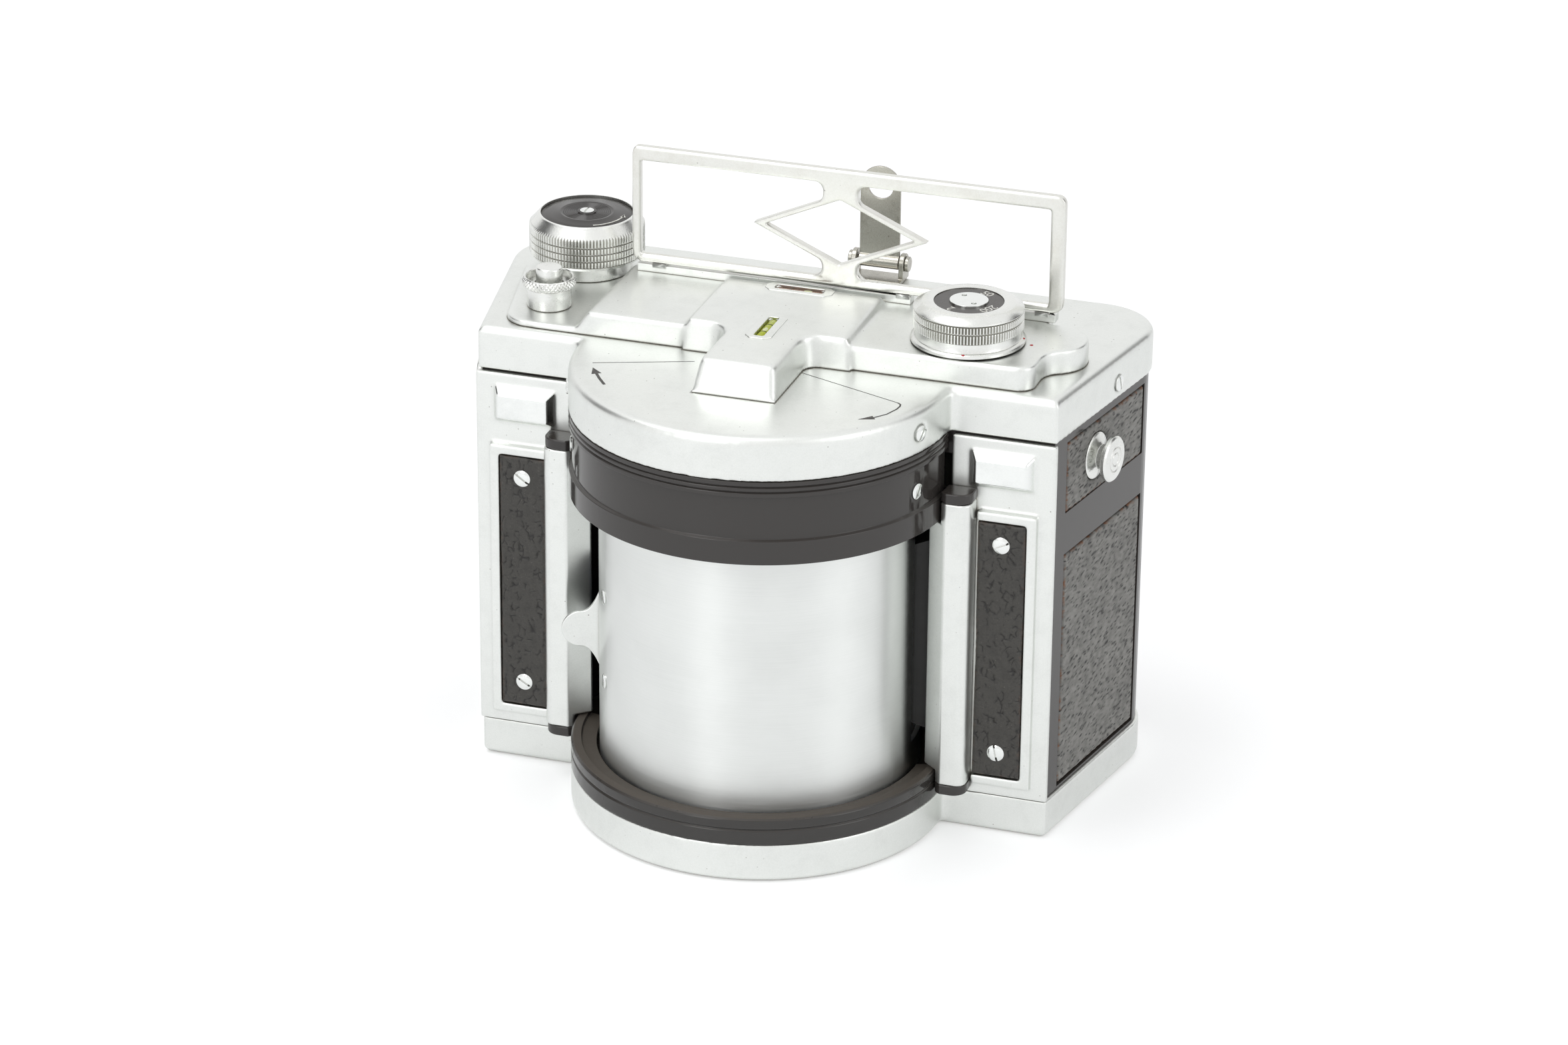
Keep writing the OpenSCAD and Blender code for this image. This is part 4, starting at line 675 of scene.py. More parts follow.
def creased_goat(u, v):
    bend = noise.noise_vector(Vector((u / 1.8, v / 1.8, 3.1)))
    near = noise.voronoi(Vector(((u + 0.8 * bend.x) / 1.7, (v + 0.8 * bend.y) / 2.8, 1.7)))[0]
    rim = near[1] - near[0]
    crack = max(0.0, 1 - rim / 0.12)
    open_here = max(0.0, min(1.0, 4.5 * noise.noise(Vector((u / 1.5, v / 2.2, 7.7)))))
    swell = 0.25 * noise.noise(Vector((u / 2.2, v / 2.2, 4.4))) + 0.2 * min(rim, 0.7)
    return max(0.0, 0.9 - crack * open_here + swell)


def dry_ripple(u, v):
    fine = noise.noise(Vector((u / 1.8, v / 0.8, 5.3)))
    return 0.75 + 0.35 * fine + 0.12 * noise.noise(Vector((u / 6, v / 6, 9.2)))


SEEN_FROM, BORDER_FLAT, BORDER_FRAY = 0.3, 0.8, 1.2


def skin_leather(name, finish, out, skin, relief, lift, bands, grain, gap):
    piece = fine_skin(name, "_hide", skin)
    mesh = piece.data
    out = Vector(out).normalized()
    across = Vector((0, 0, 1)).cross(out)
    points = points_of(mesh)
    outward = np.array([v.normal.dot(out) for v in mesh.vertices])
    u = points @ np.array(across)
    v = points[:, 2]
    border = np.zeros(len(points))
    height = np.zeros(len(points))
    for low, high in bands:
        inside = (v > low - 1) & (v < high + 1)
        ends = u[inside].min(), u[inside].max(), v[inside].min(), v[inside].max()
        edge = np.minimum.reduce([u - ends[0], ends[1] - u, v - ends[2], ends[3] - v])
        border = np.where(inside, edge, border)
    seen = outward > SEEN_FROM
    for i in np.nonzero(seen)[0]:
        height[i] = grain(u[i], v[i])
    ragged = np.array([noise.noise(Vector((a / 1.6, b / 1.6, 2.2))) for a, b in zip(u, v)])
    push = np.where(seen, lift + relief * (height - 0.5), 0) * np.clip(border / BORDER_FLAT, 0, 1)
    middle = np.array([u.mean(), v.mean()])
    inward = np.stack([middle[0] - u, middle[1] - v], axis=1)
    inward /= np.linalg.norm(inward, axis=1)[:, None] + TINY
    shrink = np.clip(1 - border / BORDER_FRAY, 0, 1) * np.clip(gap + 0.6 * gap * ragged, 0.05, 0.9)
    points += push[:, None] * np.array(out)
    points += (shrink * inward[:, 0])[:, None] * np.array(across)
    points[:, 2] += shrink * inward[:, 1]
    for label, values in (("grain", np.where(seen, np.clip(height, 0, 1), 1)), ("border", border)):
        mesh.attributes.new(label, "FLOAT", "POINT").data.foreach_set("value", values.astype(np.float32))
    on_hide = np.stack([u, v, np.zeros(len(u))], axis=1).astype(np.float32)
    mesh.attributes.new("hide_place", "FLOAT_VECTOR", "POINT").data.foreach_set("vector", on_hide.ravel())
    settle_skin(piece, name, finish, points)


SIDE_TILT = math.atan(9.4 / 50)
FRONT_BAND = [(16.0, 82.4)]
SIDE_BANDS = [(10.9, 72.0), (82.6, 100.7)]
for side, sign in SIDES.items():
    skin_leather("front_leather_" + side, GOAT, (0, -1, 0), 0.2, 0.34, 0.1, FRONT_BAND, creased_goat, 0.2)
    side_out = (sign * math.cos(SIDE_TILT), -math.sin(SIDE_TILT), 0)
    skin_leather("side_leather_" + side, DRY_HIDE, side_out, 0.45, 0.16, 0.3, SIDE_BANDS, dry_ripple, 0.5)
skin_leather("door_leather", DRY_HIDE, (0, 1, 0), 0.5, 0.14, 0.15, SIDE_BANDS, dry_ripple, 0.4)

# %% [markdown]
# ## Turned pieces
# The release ring with its diamond knurl, the button, the knob, the dial, the black disc and the
# small dots are all shapes of revolution: a profile of radius and height is spun round an upright
# axis. A pole is a ring of one point. The knurl pulls each point of the band in by how far it is
# from the nearest pyramid's top.

# %% Spin a profile
RELEASE_AT, KNOB_AT, DIAL_AT = (-59.2, 14.9), (-59.2, 41.5), (45.4, 15.9)
TURNED_EDGE = math.radians(32)


def join_rings(shape, rings):
    for lower, upper in zip(rings, rings[1:]):
        steps = max(len(lower), len(upper))
        for i in range(steps):
            j = (i + 1) % steps
            corners = [lower[k % len(lower)] for k in (i, j)] + [upper[k % len(upper)] for k in (j, i)]
            shape.faces.new(list(dict.fromkeys(corners)))


def spun(name, profile, centre, steps, reach=None):
    shape = bmesh.new()
    rings = []
    for r, z in profile:
        ring = []
        for i in range(steps if r > TINY else 1):
            angle = 2 * math.pi * i / steps
            radius = reach(r, z, angle) if reach else r
            x, y = centre[0] + radius * math.cos(angle), centre[1] + radius * math.sin(angle)
            ring.append(shape.verts.new(Vector((x, y, centre[2] + z)) * MM))
        rings.append(ring)
    join_rings(shape, rings if len(rings[-1]) == 1 else rings + rings[:1])
    bmesh.ops.recalc_face_normals(shape, faces=shape.faces)
    piece = new_piece(name, shape)
    piece.data.set_sharp_from_angle(angle=TURNED_EDGE)
    return piece


def turned_piece(node, suffix, finish, profile, centre, steps, reach=None):
    piece = settle(spun(node + suffix, profile, centre, steps, reach), node, finish)
    print(piece.name, "faces:", len(piece.data.polygons))


KNURLS, KNURL_DEPTH, KNURL_TALL = 40, 0.32, 1.05
BAND_LOW, BAND_HIGH, BAND_BULGE, RING_R = 0.45, 2.15, 0.3, 6.6
NEAR = 0.01


def knurled(r, z, angle):
    if r < RING_R - BAND_BULGE - NEAR or not BAND_LOW - NEAR < z < BAND_HIGH + NEAR:
        return r
    turn = angle * KNURLS / (2 * math.pi)
    climb = (z - BAND_LOW) / KNURL_TALL
    saw = [abs((turn + way * climb) % 1 - 0.5) * 2 for way in (1, -1)]
    return r - KNURL_DEPTH * (1 - min(1 - saw[0], 1 - saw[1]) * 2) * 0.5 - KNURL_DEPTH * 0.5


band = []
for t in np.linspace(0, 1, 17):
    band.append((RING_R - BAND_BULGE * abs(2 * t - 1) ** 2.5, BAND_LOW + (BAND_HIGH - BAND_LOW) * t))
ring_foot = [(3.6, 0), (5.6, 0), (6.1, 0.3)]
ring_lip = [(6.05, 2.4), (5.9, 2.6), (5.7, 2.6), (5.5, 2.4), (5.4, 0.7), (3.6, 0.7)]
RING_Z, ring = 120.3, ring_foot + band + ring_lip
turned_piece("release_ring", "_knurled", TURNED, ring, (*RELEASE_AT, RING_Z), KNURLS * 8, knurled)

# %% [markdown]
# ## Release button
# A plain turned button with a flat top and a rounded rim, on its stem. Below it a coil spring is
# squeezed as the button goes down; the coil is a copy of the CAD spring, set on the spring's own body.

# %% Turn the button
BUTTON_TOP, PRESS = 125.3, 2.5
stem = [(0, 99.0), (1.5, 99.0), (1.5, 111.8), (3.2, 111.8)]
head = [(3.2, 0.55), (3.14, 0.3), (2.98, 0.12), (2.72, 0.03), (2.45, 0), (0, -0.04)]
button = stem + [(r, BUTTON_TOP - z) for r, z in head]
turned_piece("release_button", "_turned", TURNED, button, (*RELEASE_AT, 0), 64)
low_corner, high_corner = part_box("release_spring")
spring = put_in_scene("release_spring_coil", nodes["release_spring"].data.copy())
settle(spring, "release_spring", STEEL)
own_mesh(spring)
print("button top, mm:", BUTTON_TOP)

# %% [markdown]
# ## Winding knob
# The knob was turned with a wide sloping shoulder, then cut with 108 upright V-grooves and a few
# rings. The upright grooves run out on the shoulder, which leaves each tooth with a pointed top:
# a point of the knob lies on the turned profile or in a groove, whichever is nearer the axis.

# %% Turn and cut the knob
KNOB_R, KNOB_FOOT, KNOB_TOP, TEETH = 14.2, 119.3, 129.9, 108
TOOTH_STEPS = TEETH * 6


def toothed(outer, depth, flat, inside, low, high):
    def reach(r, z, angle):
        if r < inside or not low < z < high:
            return r
        saw = abs((angle * TEETH / (2 * math.pi)) % 1 - 0.5) * 2
        return min(r, outer - depth * max(0.0, (1 + flat) * saw - flat))
    return reach


def tooth_row(low, tall, radii, eases):
    rise = list(zip(radii, (0, *eases)))
    return [(r, low + ease) for r, ease in rise] + [(r, low + tall - ease) for r, ease in rise[::-1]]


sides = [(4.02, KNOB_FOOT), (13.5, KNOB_FOOT), (13.9, KNOB_FOOT + 0.7)]
for i in range(4):
    sides += tooth_row(KNOB_FOOT + 0.85 + 1.72 * i, 1.6, (13.62, 14.12, KNOB_R), (0.12, 0.3))
shoulder = [(14.15 - 0.42 * t, KNOB_TOP - 2.75 + 0.46 * t) for t in np.linspace(0, 5.2, 14)]
lip = [(r, KNOB_TOP - z) for r, z in ((11.8, 0.12), (11.6, 0), (11.34, 0), (11.32, 1.4), (4.02, 1.4))]
knob_cut = toothed(KNOB_R, 0.5, 0.35, 12.4, KNOB_FOOT + 0.75, math.inf)
knob = sides[:-2] + shoulder + lip
turned_piece("wind_knob", "_turned", TURNED, knob, (*KNOB_AT, 0), TOOTH_STEPS, knob_cut)

# %% [markdown]
# ## Speed dial
# Turned and cut as the knob was, with two rows of 108 teeth, a sloping rim above them and a thin
# skirt below, which carries the red dots.

# %% Turn and cut the dial
DIAL_R, DIAL_FOOT = 13.1, 120.2
dial_sides = [(3.03, 0), (13.6, 0), (13.6, 0.55), (13.45, 0.75), (12.75, 1.05), (12.6, 1.3), (12.6, 3.1),
              (12.75, 3.2)]
for low, tall in ((3.25, 2.35), (5.75, 1.85)):
    dial_sides += tooth_row(low, tall, (12.55, 13.0, DIAL_R), (0.1, 0.25))
dial_rim = [(12.95, 7.75), (DIAL_R, 7.9), (DIAL_R, 8.05), (13.0, 8.2), (11.2, 9.35), (10.9, 9.47),
            (8.5, 9.55), (8.32, 9.5), (8.32, 8.8), (3.03, 8.8)]
dial_cut = toothed(DIAL_R, 0.55, 0.5, 12.2, 3.15, 7.7)
whole_dial = dial_sides + dial_rim
turned_piece("speed_dial", "_turned", TURNED, whole_dial, (*DIAL_AT, DIAL_FOOT), TOOTH_STEPS, dial_cut)

# %% [markdown]
# ## The disc in the winding knob
# A slightly domed black disc with fine concentric rings and a raised bead round them. A slotted
# screw in the middle and a white arrow that shows which way to wind come later.

# %% Winding disc
DISC_Z = 128.5
grooves = []
for r in np.arange(5.9, 2.8, -0.5):
    grooves += [(r, 1.36), (r - 0.16, 1.22), (r - 0.32, 1.36)]
disc_rim = [(0, 0), (11.25, 0), (11.25, 0.75), (11.0, 0.9), (9.0, 1.2), (7.0, 1.36), (6.7, 1.46),
            (6.4, 1.46), (6.15, 1.34)]
disc_seat = [(2.45, 1.36), (2.3, 1.62), (1.95, 1.66), (1.85, 1.45), (0, 1.45)]
disc = disc_rim + grooves + disc_seat
turned_piece("wind_disc", "_ringed", DISC_BLACK, disc, (*KNOB_AT, DISC_Z), 144)

# %% [markdown]
# ## Slotted screws
# Each screw is a low domed head with a slot whose floor is painted dark, for the dirt set in it
# and as painted shade. The slots point every way, because each screw was turned until it was tight.
# A head is made upright at the origin, its slot floor takes the dark colour, and then it is turned
# to face outward from its seat.

# %% Place the screws
SLOT, COVER_SCREW_R, UP = 0.5, 1.9, Vector((0, 0, 1))


def slotted_head(name, radius, rise, slot):
    cap = [(0, 0), (1, 0), (1, 0.55), (0.8, 0.9), (0.4, 1), (0, 1)]
    piece = spun(name, [(radius * r, rise * z) for r, z in cap], (0, 0, 0), 48)
    shape = shape_of(piece.data)
    for side in SIDES.values():
        cut_plane(shape, (side * slot / 2, 0, 0), (1, 0, 0))
    middle = slot / 2 * MM
    strip = [f for f in shape.faces if abs(f.calc_center_median().x) < middle and f.normal.z > 0.2]
    for part in bmesh.ops.extrude_face_region(shape, geom=strip)["geom"]:
        if isinstance(part, bmesh.types.BMVert):
            part.co.z = rise * 0.3 * MM
        if isinstance(part, bmesh.types.BMFace):
            part.material_index = 1
    bmesh.ops.delete(shape, geom=strip, context="FACES")
    bmesh.ops.recalc_face_normals(shape, faces=shape.faces)
    shape.to_mesh(piece.data)
    shape.free()
    piece.data.set_sharp_from_angle(angle=TURNED_EDGE)
    return piece


def set_screw(name, node, seat, out, radius, rise, angle, slot=SLOT, join=settle):
    piece = slotted_head(name, radius, rise, slot)
    join(piece, node, BRIGHT)
    # The slot floor is painted dark, for dirt and as painted shade in the slot.
    piece.data.materials.append(SEAM_DIRT_AND_SHADE)
    out = Vector(out).normalized()
    upright = UP if abs(out.z) < 0.9 else Vector((0, 1, 0))
    across = upright.cross(out).normalized()
    facing = Matrix((across, out.cross(across), out)).transposed().to_4x4()
    turned = facing @ Matrix.Rotation(math.radians(angle), 4, "Z")
    piece.data.transform(Matrix.Translation(Vector(seat) * MM) @ turned)


set_screw("wind_screw", "wind_disc", (*KNOB_AT, DISC_Z + 1.4), UP, 1.75, 0.55, 0, join=adorn)
low_corner, high_corner = (Vector(c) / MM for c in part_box("panel_screws"))
hide_low, hide_high = (Vector(c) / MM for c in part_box("front_leather_right"))
PANEL_SCREW_R, screw_x = 2.1, (hide_low.x + hide_high.x) / 2
levels = {"low": low_corner.z + PANEL_SCREW_R, "high": high_corner.z - PANEL_SCREW_R}
PANEL_SLOTS = {("left", "low"): 60, ("left", "high"): 55, ("right", "low"): 12, ("right", "high"): -65}
for (side, place), angle in PANEL_SLOTS.items():
    seat = (SIDES[side] * screw_x, hide_low.y - 0.05, levels[place])
    name = "panel_screw_%s_%s" % (side, place)
    set_screw(name, "panel_screws", seat, (0, -1, 0), PANEL_SCREW_R, 0.65, angle)
FRONT_TURN = math.radians(70.7)
FRONT_SCREWS = {"cover": (46.0, 108.0, -35), "bezel": (45.2, 93.2, -30)}
SIDE_X, SIDE_ALONG, SIDE_Z = 72, 33.3, 106.7
for side, sign in SIDES.items():
    out = (sign * math.sin(FRONT_TURN), -math.cos(FRONT_TURN), 0)
    for place, (reach, z, angle) in FRONT_SCREWS.items():
        seat = (out[0] * reach, out[1] * reach, z)
        set_screw("%s_screw_%s" % (place, side), "cover_screws", seat, out, COVER_SCREW_R, 0.5, sign * angle)
    side_out = Vector((sign * math.cos(SIDE_TILT), -math.sin(SIDE_TILT), 0))
    along = Vector((sign * math.sin(SIDE_TILT), math.cos(SIDE_TILT), 0))
    seat = Vector((sign * SIDE_X, 0, SIDE_Z)) + SIDE_ALONG * along
    set_screw("side_screw_" + side, "cover_screws", seat, side_out, COVER_SCREW_R, 0.4, 15)
print("screws:", 1 + len(PANEL_SLOTS) + len(SIDES) * (len(FRONT_SCREWS) + 1))

# %% [markdown]
# ## Finger tab
# A bell of 1 mm sheet stands out of the drum to wind it by. Its plane goes through the drum's
# axis, at the angle of the CAD tab's tip, and its outline is a smooth flank that runs into a
# half circle. Its foot, inside the drum, is kept from the CAD shape, and its two screws are set
# as the others are.

# %% Cut the bell
DRUM_R, TAB_TIP, TAB_ROUND, TAB_Z, TAB_HALF = 39.0, 48.0, 4.6, 45.3, 0.5


def loft(name, rings, caps=True, smooth=True):
    shape = bmesh.new()
    made = [[shape.verts.new(Vector(place) * MM) for place in ring] for ring in rings]
    join_rings(shape, made)
    if caps:
        shape.faces.new(made[0][::-1])
        shape.faces.new(made[-1])
    bmesh.ops.recalc_face_normals(shape, faces=shape.faces)
    return new_piece(name, shape, smooth)


tab_points = points_of(nodes["finger_tab"].data)
tab_reach = np.hypot(tab_points[:, 0], tab_points[:, 1])
tip = tab_points[tab_reach > tab_reach.max() - 0.5].mean(axis=0)
TAB_TURN = math.atan2(tip[1], tip[0])
foot = [(DRUM_R - 0.6, 9.7)]
flank = [(DRUM_R + 4.4 * t, TAB_ROUND + 5.0 * (1 - t) ** 2.2) for t in np.linspace(0, 1, 14)[:-1]]
turns = np.linspace(math.pi / 2, 0, 16)
upper = foot + flank + [(TAB_TIP - TAB_ROUND * (1 - math.cos(a)), TAB_ROUND * math.sin(a)) for a in turns]
bell = upper + [(p, -h) for p, h in upper[-2::-1]]
radial = Vector((math.cos(TAB_TURN), math.sin(TAB_TURN), 0))
sideways = Vector((-radial.y, radial.x, 0))
sheets = [[radial * p + sideways * s + UP * (TAB_Z + h) for p, h in bell] for s in (-TAB_HALF, TAB_HALF)]
tab = loft("finger_tab_bell", sheets)
round_edges(tab, 0.3, angle_limit=math.radians(50))
settle(tab, "finger_tab", CAST)

shape = shape_of(nodes["finger_tab"].data)
outside = [f for f in shape.faces if any(math.hypot(v.co.x, v.co.y) > (DRUM_R - 0.9) * MM for v in f.verts)]
bmesh.ops.delete(shape, geom=outside, context="FACES")
settle(new_piece("finger_tab_foot", shape, smooth=False), "finger_tab", NICKEL)

on_drum = (tab_reach > DRUM_R + 0.1) & (tab_reach < DRUM_R + 0.6)
for place, z, angle in (("low", 35.8, 10), ("high", 58.0, 40)):
    near = tab_points[on_drum & (abs(tab_points[:, 2] - z) < 1.9)].mean(axis=0)
    out = Vector((near[0], near[1], 0)).normalized()
    set_screw("tab_screw_" + place, "finger_tab", out * DRUM_R + UP * z, out, 1.8, 0.4, angle, slot=0.45)
print("tab at, degrees:", round(math.degrees(TAB_TURN), 2))

# %% [markdown]
# ## Blind windows on the wings
# Above each front leather sits a raised plate with bevelled sides, polished after the panel was
# blasted. It is a frustum with rounded edges, laid over the panel's own raised block.

# %% Polished plates
WINDOW_X, WINDOW_Z, WINDOW_Y, WINDOW_BEVEL = (-2.44, 13.44), (90.56, 99.84), (-1.1, -3.86), 1.6
for side, sign in SIDES.items():
    rings = []
    for y, inset in zip(WINDOW_Y, (0, WINDOW_BEVEL)):
        near, far = hide_low.x + WINDOW_X[0] + inset, hide_low.x + WINDOW_X[1] - inset
        low, high = WINDOW_Z[0] + inset, WINDOW_Z[1] - inset
        rings.append([(sign * x, y, z) for x, z in ((near, low), (far, low), (far, high), (near, high))])
    plate = loft("blind_window_" + side, rings)
    round_edges(plate, 0.55)
    adorn(plate, "wing_panel_" + side, BRIGHT)
print("polished plates:", len(SIDES))

# %% [markdown]
# ## Painted lines, arrows, dots and numbers
# Each painted stroke is a thin ribbon with a real thickness, sunk a little into what carries
# it, so it looks like filled engraving from every side. The numbers are Blender's own plain
# font turned into meshes. They stand with their tops outward, as the dial is read from above.

# %% Ribbons and arrow heads
PAINT_RISE, PAINT_SINK, NECK_STEP, POINT_WIDE = 0.03, 0.05, 0.01, 0.02


def ribbon(name, path, widths):
    path = [Vector(p) for p in path]
    low, high = UP * -PAINT_SINK, UP * PAINT_RISE
    stations = []
    for i, here in enumerate(path):
        ahead = (path[min(i + 1, len(path) - 1)] - path[max(i - 1, 0)]).normalized()
        side = UP.cross(ahead).normalized() * widths[i] / 2
        stations.append([here + at for at in (side + low, side + high, high - side, low - side)])
    return loft(name, stations, smooth=False)


def arrow(name, path, stroke, head_length, head_width):
    path = [Vector(p) for p in path]
    way = (path[-1] - path[-2]).normalized()
    neck = path[-1] - way * head_length
    points = path[:-1] + [neck, neck + way * NECK_STEP, path[-1]]
    return ribbon(name, points, [stroke] * len(path) + [head_width, POINT_WIDE])


COVER_TOP, LINE_WIDE, HEAD_LONG = 113.8, 0.22, 3.8
LINES = {"left": ((-38.0, -13.1), (-15.6, -4.4)), "right": ((10.4, -2.7), (37.2, -12.9))}
LEFT_WAY = ((-30.8, -24.8), (-33.2, -21.6), (-36.9, -15.9))
RIGHT_WAY = ((37.1, -12.85), (37.9, -13.6), (38.1, -14.6), (37.9, -16.5), (36.6, -20.2), (34.4, -23.1),
             (31.3, -25.3))
ARROWS = {"left": (LEFT_WAY, 0.7, 2.4), "right": (RIGHT_WAY, 0.4, 2.0)}
on_cover = []
for side, run in LINES.items():
    on_cover.append(ribbon("field_line_" + side, [(*p, COVER_TOP) for p in run], [LINE_WIDE] * 2))
for side, (run, stroke, head_wide) in ARROWS.items():
    path = [(*p, COVER_TOP) for p in run]
    on_cover.append(arrow("field_arrow_" + side, path, stroke, HEAD_LONG, head_wide))
for piece in on_cover:
    adorn(piece, "top_cover", BLACK_PAINT)


def about(centre, radius, degrees, z):
    turn = math.radians(degrees)
    return centre[0] + radius * math.cos(turn), centre[1] + radius * math.sin(turn), z


ARROW_R, ARROW_Z = 9.35, DISC_Z + 1.19
arrow_path = [about(KNOB_AT, ARROW_R, a, ARROW_Z) for a in np.linspace(-61, 7, 22)]
adorn(arrow("wind_arrow", arrow_path, 0.4, 1.7, 1.4), "wind_disc", WHITE_PAINT)
print("painted strokes:", len(on_cover) + 1)

# %% Dots and numbers on the dial
SKIRT_Z, SKIRT_R = 121.05, 13.05
dome = [(0, -0.2), (0.42, -0.2), (0.42, 0.02), (0.3, 0.1), (0, 0.13)]
for i, angle in enumerate((-79, 8.8, 102)):
    centre = about(DIAL_AT, SKIRT_R, angle, SKIRT_Z)
    adorn(spun("dial_dot_%d" % i, dome, centre, 20), "speed_dial", RED_PAINT)
adorn(spun("deck_index_dot", dome, (60.45, 17.44, 119.8), 20), "top_deck", RED_PAINT)

RING_TOP, NUMBER_R, NUMBER_SIZE = 129.5, 6.45, 3.2
NUMBERS = {"2": -115, "50": 65, "200": -30}
for words, angle in NUMBERS.items():
    face = bpy.data.curves.new("number_" + words, "FONT")
    face.body = words
    face.size = NUMBER_SIZE * MM
    face.extrude = 0.04 * MM
    face.align_x = "CENTER"
    face.align_y = "CENTER"
    maker = put_in_scene("number_" + words, face)
    bpy.context.view_layer.update()
    mesh = bpy.data.meshes.new_from_object(maker.evaluated_get(bpy.context.evaluated_depsgraph_get()))
    bpy.data.objects.remove(maker)
    place = Vector(about(DIAL_AT, NUMBER_R, angle, RING_TOP)) * MM
    mesh.transform(Matrix.Translation(place) @ Matrix.Rotation(math.radians(angle - 90), 4, "Z"))
    adorn(put_in_scene("dial_number_" + words, mesh), "dial_ring", WHITE_PAINT)
print("numbers on the dial:", len(NUMBERS))

# %% [markdown]
# ## Levels
# Each level is a sealed glass tube of yellow-green spirit with one bubble and two dark marks
# round it. The tube's ends are domed, the bubble is a flattened drop under the top of the
# glass, and the marks are thin bands.

# %% Vials, bubbles and marks
VIAL_R, VIAL_HALF, VIAL_X, VIAL_Z = 1.6, 6.1, -0.3, 120.0
VIALS = {"front": (3.0, math.pi / 2, -0.9), "rear": (28.6, 0.0, 2.1)}


def lay_down(piece, y, turn):
    upright = Matrix.Translation(Vector((VIAL_X, y, VIAL_Z)) * MM)
    piece.data.transform(upright @ Matrix.Rotation(turn, 4, "Z") @ Matrix.Rotation(math.pi / 2, 4, "Y"))
    return piece


ends = [(VIAL_R * math.sin(a), -VIAL_HALF + 0.8 * (1 - math.cos(a))) for a in np.linspace(0, math.pi / 2, 6)]
tube = ends + [(r, -z) for r, z in ends[::-1]]
DROP_R, DROP_HALF = 0.95, 2.1
drop = [(DROP_R * math.sin(a), -DROP_HALF * math.cos(a)) for a in np.linspace(0, math.pi, 12)]
drop[0], drop[-1] = (0, -DROP_HALF), (0, DROP_HALF)
tube[0], tube[-1] = (0, -VIAL_HALF), (0, VIAL_HALF)
MARK_AT, thin_band = 2.3, [(1.58, -0.13), (1.64, -0.13), (1.64, 0.13), (1.58, 0.13)]
for place, (y, turn, off) in VIALS.items():
    vial = lay_down(spun("level_vial_" + place, tube, (0, 0, 0), 32), y, turn)
    settle(vial, "level_vials", SPIRIT if place == "front" else DRIED)
    bubble = spun("level_bubble_" + place, drop, (-0.78, 0, off), 24)
    adorn(lay_down(bubble, y, turn), "level_vials", BUBBLE)
    for i, side in enumerate((-MARK_AT, MARK_AT)):
        mark = spun("level_mark_%s_%d" % (place, i), thin_band, (0, 0, side), 32)
        adorn(lay_down(mark, y, turn), "level_vials", BLACK_PAINT)
print("levels:", list(VIALS))

# %% [markdown]
# ## Frames of the levels
# Round each level stands a low frame with cut corners. It is a ring between an eight-sided
# outline and the slot, 0.4 mm high, with softened edges.

# %% Eight-sided frames
FRAME_FOOT, FRAME_TOP, SLOT_FLOOR = 121.3, 122.0, 120.4
SLOT_SIZE, SLOT_CUT, FRAME_CUT = (2.5, 12.2), 0.35, 1.6
FRAMES = {"front": ((6.6, 15.4), 0.0), "rear": ((5.4, 17.0), math.pi / 2)}


def cut_corners(size, cut, z):
    w, d = size[0] / 2, size[1] / 2
    around = [(w, d - cut), (w - cut, d), (cut - w, d), (-w, d - cut)]
    return [(x, y, z) for x, y in around] + [(-x, -y, z) for x, y in around]


for place, (size, turn) in FRAMES.items():
    rings = [cut_corners(size, FRAME_CUT, z) for z in (FRAME_FOOT, FRAME_TOP)]
    rings += [cut_corners(SLOT_SIZE, SLOT_CUT, z) for z in (FRAME_TOP, SLOT_FLOOR)]
    piece = loft("level_frame_" + place, rings, caps=False)
    centre = Vector((VIAL_X, VIALS[place][0], 0)) * MM
    piece.data.transform(Matrix.Translation(centre) @ Matrix.Rotation(turn, 4, "Z"))
    round_edges(piece, 0.16, 3)
    adorn(piece, "top_deck", CAST)
print("frames:", list(FRAMES))

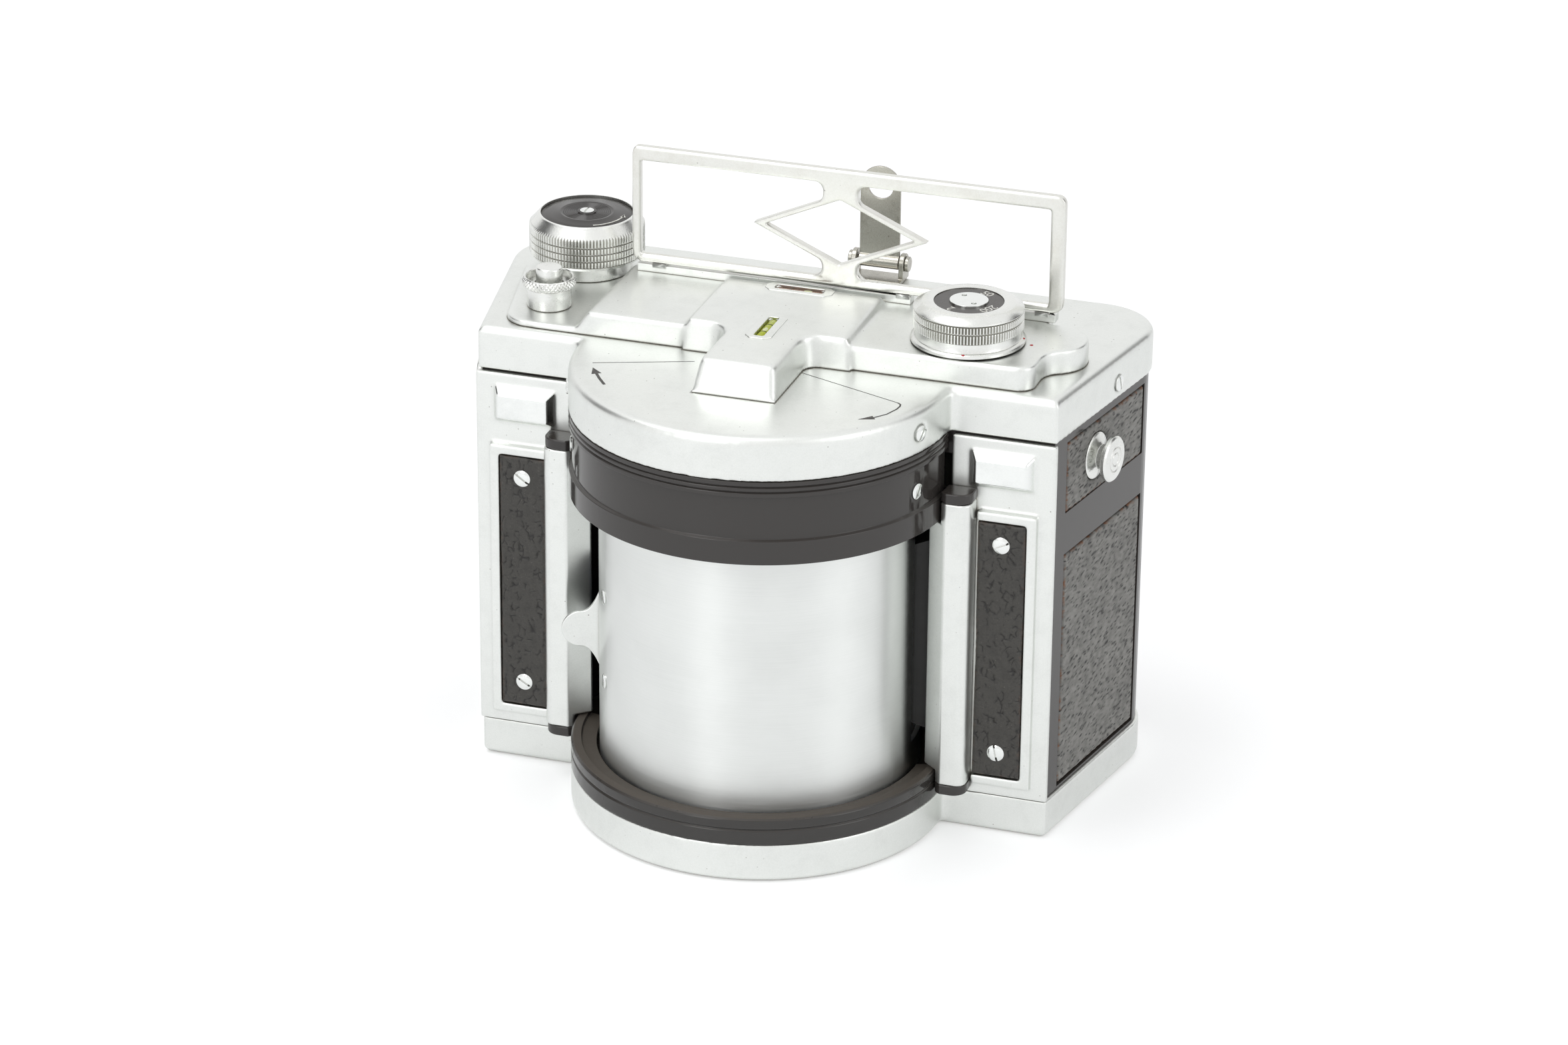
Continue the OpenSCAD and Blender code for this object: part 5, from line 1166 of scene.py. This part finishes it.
# %% [markdown]
# ## Dirt and painted shadow in the seams
# Where the raised deck meets the cover, a fine dark line stands for dirt in the joint and is painted
# shadow of the gap too. Where the panels meet the base, a dark line is painted shadow under the
# panels' overhang. The first is the outline of the deck's foot, and each is drawn as a hair-thin curve.

# %% Lines of dirt and painted shadow
LEVEL_NEAR, FOOT_TURN, SHORT_LOOP = 0.02, math.radians(30), 20


def hair_line(name, runs, thickness, roundness, closed):
    line = bpy.data.curves.new(name, "CURVE")
    line.dimensions = "3D"
    line.bevel_depth = thickness * MM
    line.bevel_resolution = roundness
    for run in runs:
        spline = line.splines.new("POLY")
        spline.points.add(len(run) - 1)
        spline.points.foreach_set("co", [c for place in run for c in (*place, 1)])
        spline.use_cyclic_u = closed
    return put_in_scene(name, line)


def foot_loops(name, level):
    shape = shape_of(nodes[name].data, weld=True)
    foot = {}
    for edge in shape.edges:
        low = all(abs(v.co.z / MM - level) < LEVEL_NEAR for v in edge.verts)
        if low and edge.calc_face_angle(0) > FOOT_TURN:
            first, second = edge.verts
            for a, b in ((first, second), (second, first)):
                foot.setdefault(a, []).append(b)
    loops = []
    left = dict.fromkeys(foot)
    while left:
        loop = [left.popitem()[0]]
        while after := [v for v in foot[loop[-1]] if v in left]:
            del left[after[0]]
            loop.append(after[0])
        if len(loop) > SHORT_LOOP:
            loops.append([tuple(v.co) for v in loop])
    shape.free()
    return loops


# Dirt and painted shadow: a dark line round the deck's foot, where it meets the cover.
loops = foot_loops("top_deck", COVER_TOP)
adorn(hair_line("top_deck_seam", loops, 0.05, 1, True), "top_deck", DECK_DIRT_AND_SHADOW)
# Painted shadow: a dark line where the panels overhang the base.
SEAM_FROM, SEAM_TO, SEAM_Z = 47.5, 71.3, 10.22
for side, sign in SIDES.items():
    along = np.linspace(SEAM_FROM, SEAM_TO, 24)
    run = [Vector((sign * x, -0.1 + 0.05 * math.sin(x * 1.7), SEAM_Z)) * MM for x in along]
    seam = hair_line("base_seam_" + side, [run], 0.2, 2, False)
    adorn(seam, "wing_panel_" + side, SEAM_DIRT_AND_SHADE)
print("seam lines:", len(loops) + len(SIDES))
